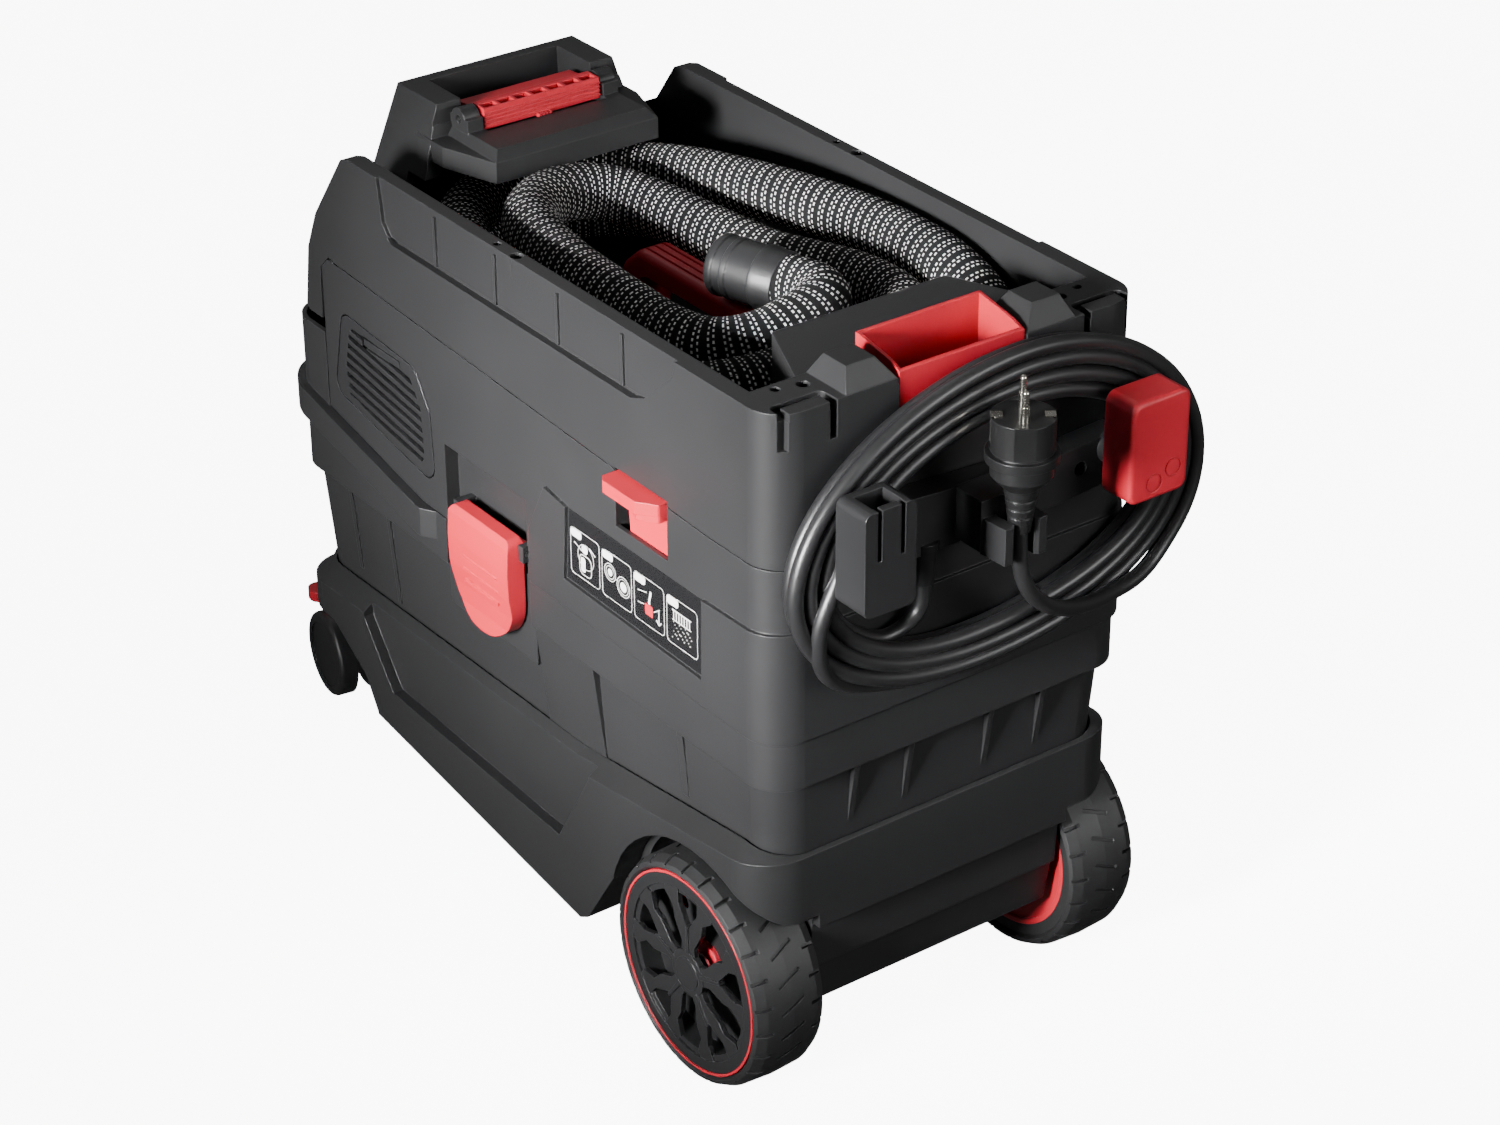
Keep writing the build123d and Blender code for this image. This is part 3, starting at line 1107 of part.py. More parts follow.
def plug_body():
    """Round moulded plug with grip ring, earth contact channels and ribbed strain relief."""
    x, y = 0.0, 0.0
    face = rod(18.6, (x, y, PLUG_FACE_Z - 20), (x, y, PLUG_FACE_Z))
    skirt = rod(21.0, (x, y, PLUG_FACE_Z - 27), (x, y, PLUG_FACE_Z - 21.5))
    waist = rod(17.8, (x, y, PLUG_FACE_Z - 36), (x, y, PLUG_FACE_Z - 20))
    shoulder = Pos(x, y, PLUG_FACE_Z - 40) * Cone(10.5, 17.8, 8)
    relief = Pos(x, y, (384 + PLUG_FACE_Z - 44) / 2) * Cone(CORD_D / 2 + 1.4, 10.0, PLUG_FACE_Z - 44 - 384)
    body = face + skirt + waist + shoulder + relief
    for i in range(4):
        ring_z = 389 + 5.6 * i
        hollow = Pos(x, y, ring_z) * (Cylinder(16, 2.0) - Cylinder(CORD_D / 2 + 1.5 + 0.1 * (ring_z - 384), 4))
        body = body - hollow
    for angle in (90, 270):
        channel = Pos(18.2, 0, PLUG_FACE_Z - 9) * Box(4.4, 9, 20)
        body = body - channel.rotate(Axis.Z, angle)
    for sign in (-1, 1):
        flat = Pos(sign * 20.6, 0, PLUG_FACE_Z - 10.0) * Box(6, 12, 20.1)
        body = body - flat
        body = body - rod(2.4, (sign * 9.5, 0, PLUG_FACE_Z - 9), (sign * 9.5, 0, PLUG_FACE_Z + 1))
    return plug_place(body)


def plug_place(shape):
    """Turn a plug piece, modelled with its pins on X, and stand it in the clip."""
    return Pos(0, 234, 0) * shape.rotate(Axis.Z, PLUG_TURN)


def plug_pins():
    """Two round pins with insulated shanks' necks."""
    pins = []
    for sign in (-1, 1):
        x = sign * 9.5
        shank = rod(2.4, (x, 0, PLUG_FACE_Z - 9), (x, 0, PLUG_FACE_Z + 9.5))
        tip = rod(2.0, (x, 0, PLUG_FACE_Z + 9.5), (x, 0, PLUG_FACE_Z + 17.5))
        dome = Pos(x, 0, PLUG_FACE_Z + 17.5) * Sphere(2.0)
        pins.append(plug_place(shank + tip + dome))
    return pins


def plug_earth():
    """Two earth strips in the channels of the plug, folded over its face."""
    strips = []
    for angle in (90, 270):
        strip = Pos(16.9, 0, PLUG_FACE_Z - 9) * Box(1.6, 6, 18)
        fold = Pos(14.6, 0, PLUG_FACE_Z + 0.4) * Box(6.2, 6, 0.8)
        strips.append(plug_place((strip + fold).rotate(Axis.Z, angle)))
    return strips


# ---------------------------------------------------------------- suction hose
def hose_coil():
    """Outer shape of the hose wound in the tray: a lower lap in the pan and an upper lap over it."""
    lower = race_ring(104.0, -280.0, 86.0, 48, TRAY_FLOOR + 0.5, PAN_TOP + 12)
    upper = race_ring(113.5, -262.0, 86.0, 46, PAN_TOP + 1.0, 441)
    crown = race_ring(108.0, -180.0, 84.0, 46, 440, 463)
    return lower + upper + crown


def race_ring(half_w, y0, y1, width, z0, z1):
    """Race-track ring lying flat."""
    outer = plan_section(half_w, y0, y1, z0, half_w - 12)
    inner = plan_section(half_w - width, y0 + width, y1 - width, z0, half_w - width - 12)
    return extrude(outer - inner, z1 - z0)


CUFF_FROM = (9.0, -34.0, 449.0)
CUFF_TO = (-5.0, 11.0, 449.0)


def hose_cuff():
    """Black rotating cuff on the visible end of the hose."""
    return tube(HOSE_D / 2 + 1.0, 13.0, CUFF_FROM, CUFF_TO)


# ---------------------------------------------------------------- fasteners
def head_screws():
    """Screws that hold the motor plate to the head from below."""
    screws = []
    for x, y in head_screw_places():
        shank = rod(2.0, (x, y, PLATE_Z), (x, y, PLATE_Z + 3.8))
        head = rod(3.6, (x, y, PLATE_Z - 1.8), (x, y, PLATE_Z))
        screws.append(head + shank)
    return screws


# ---------------------------------------------------------------- assembly
def build_parts():
    """Make every sub-part in its place."""
    keep("chassis", chassis())
    keep("rear_axle", rear_axle())
    keep("axle_clips", *axle_clips())
    for tag, side in (("left", -1), ("right", 1)):
        rubber, rim, cover = rear_wheel_parts(side)
        keep("rear_tyre_" + tag, rubber)
        keep("rear_rim_" + tag, rim)
        keep("rear_wheel_cover_" + tag, cover)
        hood, axle, wheels, pedal = caster_parts()
        keep("caster_hood_" + tag, caster_place(hood, side))
        wheelset = [caster_place(piece, side) for piece in (axle, *wheels)]
        keep("caster_wheelset_" + tag, *wheelset)
        keep("caster_brake_" + tag, caster_place(pedal, side))
        keep("side_latch_" + tag, side_latch(side))
        keep("vent_cover_" + tag, vent_cover(side))
    keep("tank", tank())
    keep("hose_inlet", hose_inlet())
    keep("inlet_deflector", inlet_deflector())
    keep("rim_seal", rim_seal())
    keep("head_shell", head_shell())
    keep("motor_plate", motor_plate())
    keep("fan_housing", fan_housing())
    keep("fan_impeller", fan_impeller())
    keep("motor_stator", motor_stator())
    keep("motor_rotor", motor_rotor())
    keep("filter_element", filter_element())
    keep("filter_frame", filter_frame())
    keep("float_cage", float_cage())
    keep("float_ball", float_ball())
    keep("control_board", *control_board())
    keep("exhaust_pads", exhaust_pad(-1), exhaust_pad(1))
    keep("hinge_pins", *latch_pins(), release_pin())
    keep("filter_lever", filter_lever())
    keep("front_panel", front_panel())
    keep("mode_switch", knob(SWITCH_X, 12.0, 8.0))
    keep("suction_dial", knob(DIAL_X, 15.0, 8.0))
    keep("tool_socket", tool_socket())
    keep("socket_flap", socket_flap())
    keep("top_tray", top_tray())
    keep("front_block", front_block())
    keep("release_bar", release_bar())
    keep("carry_handle", carry_handle())
    keep("accessory_box", accessory_box())
    keep("cord_bracket", cord_bracket())
    keep("fixed_hook", fixed_hook())
    keep("turn_hook", turn_hook())
    keep("hook_pin", hook_pin())
    keep("cord_gland", cord_gland())
    keep("mains_lead", rod(CORD_D / 2, (*GLAND_AT, 345), (*GLAND_AT, 324.6)))
    keep("mains_coil", mains_coil())
    keep("mains_tail", route_tube(TAIL_ROUTE, CORD_D))
    keep("plug_body", plug_body())
    keep("plug_contacts", *plug_pins(), *plug_earth())
    keep("hose_coil", hose_coil())
    keep("hose_cuff", hose_cuff())
    keep("screws", *head_screws(), *handle_screws())


def write_parts():
    """Move every sub-part to the final origin and write its STEP file."""
    os.makedirs("parts", exist_ok=True)
    for name, shape in PARTS.items():
        export_step(Pos(0, FRAME_Y, 0) * shape, "parts/" + name + ".step")


build_parts()
write_parts()
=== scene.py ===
"""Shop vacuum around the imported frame: camera, light, the mains lead and the suction hose, small trim, and
the materials of every piece.

Lengths are in millimetres in the modelling datum of the part and become metres in mm(), because the routes of
the mains lead and of the hose repeat the part's own numbers.
"""
import bpy
import json
import math
from mathutils import Matrix, Vector


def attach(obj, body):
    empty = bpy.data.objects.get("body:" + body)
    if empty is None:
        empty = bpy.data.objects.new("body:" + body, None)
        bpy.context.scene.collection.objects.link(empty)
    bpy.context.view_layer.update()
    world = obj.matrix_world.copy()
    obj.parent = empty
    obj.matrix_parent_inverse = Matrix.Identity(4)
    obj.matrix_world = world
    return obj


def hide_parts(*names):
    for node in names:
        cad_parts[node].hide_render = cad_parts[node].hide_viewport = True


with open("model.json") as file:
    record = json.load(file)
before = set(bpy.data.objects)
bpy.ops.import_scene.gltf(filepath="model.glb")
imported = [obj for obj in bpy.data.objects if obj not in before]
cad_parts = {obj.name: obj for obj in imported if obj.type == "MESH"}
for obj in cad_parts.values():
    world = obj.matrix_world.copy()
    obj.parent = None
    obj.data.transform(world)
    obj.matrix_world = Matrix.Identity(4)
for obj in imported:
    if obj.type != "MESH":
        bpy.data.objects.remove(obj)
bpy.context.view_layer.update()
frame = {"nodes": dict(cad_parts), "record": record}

FRAME_Y = 95.5                      # the part's datum sits this far ahead of the frame's origin, mm
NODES = frame["nodes"]


def mm(x, y, z):
    """Point of the modelling datum, in the frame's metres."""
    return Vector((x / 1000, (y + FRAME_Y) / 1000, z / 1000))


# ---------------------------------------------------------------- camera
CAMERA_AT = (1184.0, 1592.5, 1386.1)
CAMERA_AZIMUTH = 143.69             # degrees, direction in which the camera looks, from +Y towards -X
CAMERA_PITCH = 29.65                # degrees below the horizon
CAMERA_ROLL = 0.25
CAMERA_LENS = 88.95                 # mm on a 36 mm sensor


def make_camera():
    """Camera at the viewing angle of the reference view."""
    azimuth, pitch = math.radians(CAMERA_AZIMUTH), math.radians(CAMERA_PITCH)
    level = Vector((-math.sin(azimuth), math.cos(azimuth), 0.0))
    ahead = level * math.cos(pitch) - Vector((0, 0, 1)) * math.sin(pitch)
    right = ahead.cross(Vector((0, 0, 1))).normalized()
    up = right.cross(ahead)
    turn = Matrix((right, up, -ahead)).transposed().to_4x4()
    camera = bpy.data.objects.new("camera", bpy.data.cameras.new("camera"))
    camera.matrix_world = (
        Matrix.Translation(mm(*CAMERA_AT)) @ turn @ Matrix.Rotation(-math.radians(CAMERA_ROLL), 4, "Z")
    )
    camera.data.sensor_width = 36.0
    camera.data.lens = CAMERA_LENS
    camera.data.clip_end = 50.0
    bpy.context.collection.objects.link(camera)
    bpy.context.scene.camera = camera


make_camera()


# ---------------------------------------------------------------- small helpers
def link(obj):
    """Put an object in the scene."""
    bpy.context.collection.objects.link(obj)
    return obj


def mesh_object(name, verts, faces, smooth=False):
    """Object from plain vertex and face lists."""
    mesh = bpy.data.meshes.new(name)
    mesh.from_pydata([tuple(v) for v in verts], [], faces)
    mesh.update()
    if smooth:
        mesh.shade_smooth()
    return link(bpy.data.objects.new(name, mesh))


def spline_curve(name, points, radius=1.0):
    """Open NURBS curve of order 3 through its control points, given in metres."""
    curve = bpy.data.curves.new(name, "CURVE")
    curve.dimensions = "3D"
    spline = curve.splines.new("NURBS")
    spline.points.add(len(points) - 1)
    for slot_point, place in zip(spline.points, points):
        slot_point.co = (*place, 1.0)
        slot_point.radius = radius
    spline.order_u = 3
    spline.use_endpoint_u = True
    spline.resolution_u = 8
    return link(bpy.data.objects.new(name, curve))


def centreline(obj):
    """Points along a curve object that has no bevel."""
    mesh = bpy.data.meshes.new_from_object(obj)
    points = [v.co.copy() for v in mesh.vertices]
    bpy.data.meshes.remove(mesh)
    return points


def resampled(points, step):
    """The same line as evenly spaced points."""
    lengths = [0.0]
    for a, b in zip(points, points[1:]):
        lengths.append(lengths[-1] + (b - a).length)
    count = max(2, round(lengths[-1] / step))
    out = []
    index = 0
    for i in range(count + 1):
        want = lengths[-1] * i / count
        while index < len(points) - 2 and lengths[index + 1] < want:
            index += 1
        span = lengths[index + 1] - lengths[index]
        share = (want - lengths[index]) / span if span else 0.0
        out.append(points[index].lerp(points[index + 1], min(1.0, share)))
    return out, lengths[-1]


# ---------------------------------------------------------------- mains lead
CORD_D = 9.6
GLAND_END = (36.0, 195.0, 345.0)    # end of the strain relief, where the lead starts
COIL_X, COIL_Z = -14.0, 376.0       # middle of the winding
TURN_IN = (117.0, 67.0)             # half width and half height of the innermost turn's line
TURN_OUT = (151.0, 100.0)
Y_BACK, Y_FRONT, Y_OVER = 191.3, 200.8, 211.5
TURNS_BACK = 3.0                    # turns in the back layer, wound outwards
TURNS_CROSS = 0.22                  # part of a turn that crosses back to the inside, over the front layer
TURNS_FRONT = 3.53                  # turns in the front layer, wound outwards
POINTS_PER_TURN = 18
START_ANGLE = 34.0                  # degrees from the bottom towards +X

LEAD_IN = [GLAND_END, (36.2, 195, 335), (39, 194, 325), (50, 192, 317)]
TAIL = [(-113, 209.5, 303), (-92, 212.3, 302), (-62, 221, 307), (-33, 229, 319), (-11, 233, 337),
        (0, 234, 360), (0, 234, 384)]


def coil_point(turns, share, y):
    """Point of the winding: share runs from 0 at the inside to 1 at the outside."""
    angle = math.radians(START_ANGLE + 360 * turns)
    wobble = 0.8 * math.sin(3 * angle + 1.7 * turns)
    half_w = TURN_IN[0] + (TURN_OUT[0] - TURN_IN[0]) * share + wobble
    half_h = TURN_IN[1] + (TURN_OUT[1] - TURN_IN[1]) * share + wobble
    lean = 14.0 * math.cos(angle)               # the top leans towards -X
    sag = 14.0 * max(0.0, -math.sin(angle)) ** 2  # the -X end hangs lower
    return (COIL_X + half_w * math.sin(angle) + lean, y, COIL_Z - half_h * math.cos(angle) - sag)


def smooth_step(value):
    """0 to 1 with level ends."""
    value = min(1.0, max(0.0, value))
    return value * value * (3 - 2 * value)


def mains_points():
    """Control points of the whole lead: gland, back layer, crossing, front layer and tail to the plug."""
    points = list(LEAD_IN)
    total = TURNS_BACK + TURNS_CROSS + TURNS_FRONT
    steps = round(total * POINTS_PER_TURN)
    for i in range(steps + 1):
        turns = total * i / steps
        if turns < TURNS_BACK:
            settle = smooth_step(turns / 0.25)
            share = 0.16 * (1 - settle) + 1.02 * max(0.0, turns - 0.1) / (TURNS_BACK - 0.1)
            points.append(coil_point(turns, share, Y_BACK))
        elif turns < TURNS_BACK + TURNS_CROSS:
            along = (turns - TURNS_BACK) / TURNS_CROSS
            share = 1.04 * (1 - smooth_step((along - 0.15) / 0.7))
            lift = math.sin(math.pi * min(1.0, max(0.0, along)))
            y = Y_BACK + (Y_FRONT - Y_BACK) * along + (Y_OVER - Y_FRONT) * lift ** 0.6
            points.append(coil_point(turns, share, y))
        else:
            along = (turns - TURNS_BACK - TURNS_CROSS) / TURNS_FRONT
            share = along ** 0.97 * 1.02
            lift = smooth_step((turns - total + 0.12) / 0.12) * 4.0
            points.append(coil_point(turns, share, Y_FRONT + lift))
    return points + TAIL


def make_mains():
    """The lead as one curve of constant thickness."""
    points = [mm(*p) for p in mains_points()]
    lead = spline_curve("mains_cord", points, radius=CORD_D / 2000)
    _, length = resampled(centreline(lead), 0.01)
    lead.data.bevel_depth = 1.0
    lead.data.bevel_resolution = 5
    lead.data.use_fill_caps = True
    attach(lead, "head")
    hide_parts("mains_lead", "mains_coil", "mains_tail")
    return lead


# ---------------------------------------------------------------- suction hose
HOSE_D = 36.0
CUFF_FROM = (9.0, -34.0, 449.0)      # free end of the cuff
CUFF_TO = (-5.0, 11.0, 449.0)       # where the hose starts
HOSE_ROUTE = [
    # curl behind the cuff, near strand and front turn of the top loop
    CUFF_TO, (-12, 28, 450), (-8, 47, 449), (16, 52, 445), (44, 47, 438), (65, 30, 434), (73, 0, 434),
    (75, -32, 437), (77, -62, 440), (78, -95, 443), (74, -132, 445), (62, -164, 446), (38, -182, 446),
    (10, -186, 443), (-12, -178, 438), (-26, -156, 433), (-32, -127, 431), (-37, -91, 430), (-41, -56, 430),
    (-53, -30, 430), (-64, -6, 430), (-69, 20, 430),
    # behind the cross-bar to the near side, forward, under the ledge and back along the far side
    (-67, 48, 429), (-48, 69, 428), (-18, 73, 427), (22, 73, 427), (62, 72, 427), (91, 60, 425), (103, 32, 422),
    (104, -10, 421), (104, -60, 420), (103, -118, 420), (98, -170, 421), (82, -214, 424), (50, -243, 427),
    (10, -250, 427), (-30, -243, 427), (-57, -216, 429), (-70, -182, 435), (-78, -143, 440), (-86, -100, 444),
    (-95, -62, 445), (-102, -27, 445), (-104, 5, 445), (-104, 40, 444), (-102, 73, 436), (-98, 98, 420),
    # down into the pan and once round it
    (-84, 101, 401), (-62, 76, 392), (-28, 66, 391), (22, 66, 391), (60, 63, 391), (81, 38, 391), (83, 0, 391),
    (83, -60, 391), (83, -130, 391), (80, -190, 391), (66, -236, 391), (36, -260, 391), (-4, -264, 391),
    (-44, -256, 391), (-76, -228, 391), (-91, -184, 391), (-92, -130, 391), (-92, -80, 391), (-92, -30, 391),
]
HOSE_STEP = 1.3                     # mm between rings of the hose mesh
HOSE_SIDES = 40
RIB_PITCH = 6.4                     # mm between the wire turns under the sleeve


def tube_mesh(name, points, radius_at, sides):
    """Tube mesh with a UV map in metres: u along the line, v round it."""
    verts, faces, coords = [], [], []
    normal = Vector((0, 0, 1))
    travelled = 0.0
    for i, point in enumerate(points):
        ahead = points[min(i + 1, len(points) - 1)] - points[max(i - 1, 0)]
        ahead.normalize()
        normal = (normal - ahead * normal.dot(ahead)).normalized()
        side = ahead.cross(normal)
        if i:
            travelled += (point - points[i - 1]).length
        coords.append(travelled)
        for k in range(sides):
            angle = 2 * math.pi * k / sides
            radius = radius_at(travelled, angle)
            verts.append(point + (normal * math.cos(angle) + side * math.sin(angle)) * radius)
    for i in range(len(points) - 1):
        for k in range(sides):
            a, b = i * sides + k, i * sides + (k + 1) % sides
            faces.append((a, b, b + sides, a + sides))
    faces.append(tuple(reversed(range(sides))))
    faces.append(tuple(range((len(points) - 1) * sides, len(points) * sides)))
    obj = mesh_object(name, verts, faces, smooth=True)
    layer = obj.data.uv_layers.new(name="along")
    round_length = 2 * math.pi * radius_at(0, 0)
    for index, polygon in enumerate(obj.data.polygons):
        if polygon.loop_total != 4:
            continue
        i, k = divmod(index, sides)
        corners = ((i, k), (i, k + 1), (i + 1, k + 1), (i + 1, k))
        for loop, (row, column) in zip(polygon.loop_indices, corners):
            layer.data[loop].uv = (coords[row], column / sides * round_length)
    return obj


def hose_radius(travelled, angle):
    """Radius of the sleeved hose: the sleeve dips a little between the wire turns."""
    phase = travelled * 1000 / RIB_PITCH * 2 * math.pi - angle
    return (HOSE_D / 2 - 0.12 + 0.12 * math.cos(phase)) / 1000


def lathe(name, profile, start, end, sides=64):
    """Turned piece: profile is (distance from start, radius) in mm along the line from start to end."""
    a, b = mm(*start), mm(*end)
    axis = (b - a).normalized()
    normal = Vector((0, 0, 1))
    normal = (normal - axis * normal.dot(axis)).normalized()
    side = axis.cross(normal)
    verts, faces = [], []
    for along, radius in profile:
        for k in range(sides):
            angle = 2 * math.pi * k / sides
            out = (normal * math.cos(angle) + side * math.sin(angle)) * radius / 1000
            verts.append(a + axis * along / 1000 + out)
    for i in range(len(profile) - 1):
        for k in range(sides):
            p, q = i * sides + k, i * sides + (k + 1) % sides
            faces.append((p, q, q + sides, p + sides))
    obj = mesh_object(name, verts, faces, smooth=True)
    obj.data.set_sharp_from_angle(angle=math.radians(35))
    return obj


CUFF_PROFILE = [
    (46, 14.5), (2, 14.5), (0, 15.5), (0, 18.2), (1.5, 19.2), (5.0, 19.2), (6.0, 18.4), (11.0, 18.4),
    (12.0, 19.4), (15.0, 19.4), (16.0, 18.6), (32.0, 18.9), (33.0, 20.2), (37.0, 20.2), (38.5, 19.4),
    (47.0, 19.4), (48.5, 18.8), (48.5, 14.6), (46, 14.5),
]


def make_hose():
    """The hose with its sleeve and both cuffs."""
    guide = spline_curve("hose_guide", [mm(*p) for p in HOSE_ROUTE])
    points, length = resampled(centreline(guide), HOSE_STEP / 1000)
    bpy.data.objects.remove(guide)
    hose = tube_mesh("hose", points, hose_radius, HOSE_SIDES)
    cuff = lathe("hose_cuff_near", CUFF_PROFILE, CUFF_FROM, CUFF_TO)
    last = HOSE_ROUTE[-1]
    far = lathe("hose_cuff_far", CUFF_PROFILE, (last[0], last[1] + 46, last[2]), last)
    for piece in (hose, cuff, far):
        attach(piece, "head")
    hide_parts("hose_coil")
    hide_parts("hose_cuff")
    return hose, cuff, far


lead = make_mains()
hose, cuff_near, cuff_far = make_hose()


# ---------------------------------------------------------------- label in the head's recess
LABEL_X = 133.0                     # surface of the recess
LABEL_OUTLINE = [(-17.6, 330.6), (-21.4, 282.6), (117.0, 280.2), (118.2, 330.6)]
FILM_GAP, FILM_THICKNESS = 0.02, 0.45
PRINT_SINK, PRINT_RAISE = 0.05, 0.08    # how far the print reaches into the film and stands out of it
TILE_FIRST = (-17.0, 288.6)         # (y, z) of the lower front corner of the first tile
TILE_SIZE = (30.6, 31.6)
TILE_PITCH = (32.9, -0.2)


def prism(outline, x0, x1):
    """Verts and faces of a flat (y, z) outline given thickness along X; outline runs round once."""
    count = len(outline)
    verts = [mm(x0, y, z) for y, z in outline] + [mm(x1, y, z) for y, z in outline]
    faces = [tuple(range(count)), tuple(reversed(range(count, 2 * count)))]
    faces += [(i, i + count, (i + 1) % count + count, (i + 1) % count) for i in range(count)]
    return verts, faces


def band(outer, inner, x0, x1):
    """Verts and faces of the strip between two outlines with the same number of points."""
    count = len(outer)
    verts = [mm(x, y, z) for x in (x0, x1) for ring in (outer, inner) for y, z in ring]
    faces = []
    for i in range(count):
        j = (i + 1) % count
        a, b, c, d = i, j, count + j, count + i
        faces += [(a, b, c, d), (a + 2 * count, d + 2 * count, c + 2 * count, b + 2 * count),
                  (a, a + 2 * count, b + 2 * count, b), (d, c, c + 2 * count, d + 2 * count)]
    return verts, faces


def rounded(y, z, width, height, radius):
    """Outline of a rectangle with round corners from its lower corner."""
    points = []
    for cy, cz, start in ((y + width - radius, z + radius, -90), (y + width - radius, z + height - radius, 0),
                          (y + radius, z + height - radius, 90), (y + radius, z + radius, 180)):
        for step in range(5):
            angle = math.radians(start + 22.5 * step)
            points.append((cy + radius * math.cos(angle), cz + radius * math.sin(angle)))
    return points


def circle(y, z, radius, count=24):
    """Outline of a circle."""
    return [(y + radius * math.cos(2 * math.pi * i / count), z + radius * math.sin(2 * math.pi * i / count))
            for i in range(count)]


def bar(a, b, half):
    """Outline of a straight stroke."""
    length = math.hypot(b[0] - a[0], b[1] - a[1])
    ny, nz = -(b[1] - a[1]) / length * half, (b[0] - a[0]) / length * half
    return [(a[0] - ny, a[1] - nz), (b[0] - ny, b[1] - nz), (b[0] + ny, b[1] + nz), (a[0] + ny, a[1] + nz)]


def label_shapes():
    """Printed shapes of the four tiles: lists of white solids, white strips and red solids, in (y, z)."""
    solids, strips, reds = [], [], []
    for tile in range(4):
        y, z = TILE_FIRST[0] + TILE_PITCH[0] * tile, TILE_FIRST[1] + TILE_PITCH[1] * tile
        w, h = TILE_SIZE
        strips.append((rounded(y, z, w, h, 3), rounded(y + 0.45, z + 0.45, w - 0.9, h - 0.9, 2.6)))
        solids.append(rounded(y + 0.2, z + h - 6.2, 11.5, 6.0, 2.2))
        if tile == 0:       # head lifted off the tank
            strips.append((rounded(y + 9, z + 3, 13, 14, 4), rounded(y + 9.6, z + 3.6, 11.8, 12.8, 3.5)))
            solids += [rounded(y + 10.5, z + 5, 5, 10, 2), circle(y + 15, z + 21, 3.2)]
            strips.append((circle(y + 16, z + 16, 8.5), circle(y + 16, z + 16, 8.0)))
            solids += [bar((y + 4, z + 22), (y + 12, z + 19), 0.35), bar((y + 20, z + 24), (y + 26, z + 21), 0.35)]
        elif tile == 1:     # two dials
            for cy, cz, r in ((y + 8.5, z + 18, 6.0), (y + 22, z + 14, 6.8)):
                strips += [(circle(cy, cz, r), circle(cy, cz, r - 0.5)),
                           (circle(cy, cz, r - 1.6), circle(cy, cz, r - 2.0))]
                solids.append(circle(cy, cz, r - 3.6))
            solids.append(bar((y + 14.8, z + 16), (y + 16.6, z + 16), 0.5))
        elif tile == 2:     # lever pushed down
            reds.append(rounded(y + 11, z + 7, 8, 7.5, 1))
            solids += [bar((y + 15, z + 15), (y + 17, z + 24), 1.0), bar((y + 4, z + 20), (y + 13, z + 22), 0.3),
                       bar((y + 4, z + 12), (y + 10, z + 13), 0.3), bar((y + 20, z + 12), (y + 26, z + 16), 0.3),
                       bar((y + 25, z + 5), (y + 25, z + 15), 0.4), bar((y + 25, z + 5), (y + 22.5, z + 8), 0.4),
                       bar((y + 25, z + 5), (y + 27.5, z + 8), 0.4)]
        else:               # dust falling off the pleated filter
            for i in range(7):
                solids.append(bar((y + 7 + 2.6 * i, z + 17), (y + 7 + 2.6 * i, z + 22.5), 0.45))
            solids += [bar((y + 5.5, z + 23), (y + 24.2, z + 23), 0.5),
                       bar((y + 5.5, z + 16.6), (y + 24.2, z + 16.6), 0.3)]
            for i in range(26):
                solids.append(circle(y + 5.5 + (i * 7.3) % 19, z + 4.5 + (i * 4.7) % 11, 0.42, 6))
    return solids, strips, reds


def merged(parts):
    """One list of verts and one of faces from several (verts, faces) pairs."""
    verts, faces = [], []
    for more_verts, more_faces in parts:
        faces += [tuple(i + len(verts) for i in face) for face in more_faces]
        verts += more_verts
    return verts, faces


def make_label(name, sign):
    """Black film in the recess with raised white and red print, on one side of the head."""
    film = LABEL_X + FILM_THICKNESS
    base, ink = sign * (film - PRINT_SINK), sign * (film + PRINT_RAISE)
    solids, strips, reds = label_shapes()
    white = [prism(shape, base, ink) for shape in solids] + [band(*shape, base, ink) for shape in strips]
    red = [prism(shape, base, ink) for shape in reds]
    pieces = [
        mesh_object(f"{name}_film", *prism(LABEL_OUTLINE, sign * (LABEL_X + FILM_GAP), sign * film)),
        mesh_object(f"{name}_print", *merged(white)),
        mesh_object(f"{name}_print_red", *merged(red)),
    ]
    for piece in pieces:
        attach(piece, "head")
    return pieces


labels = make_label("label_right", 1) + make_label("label_left", -1)


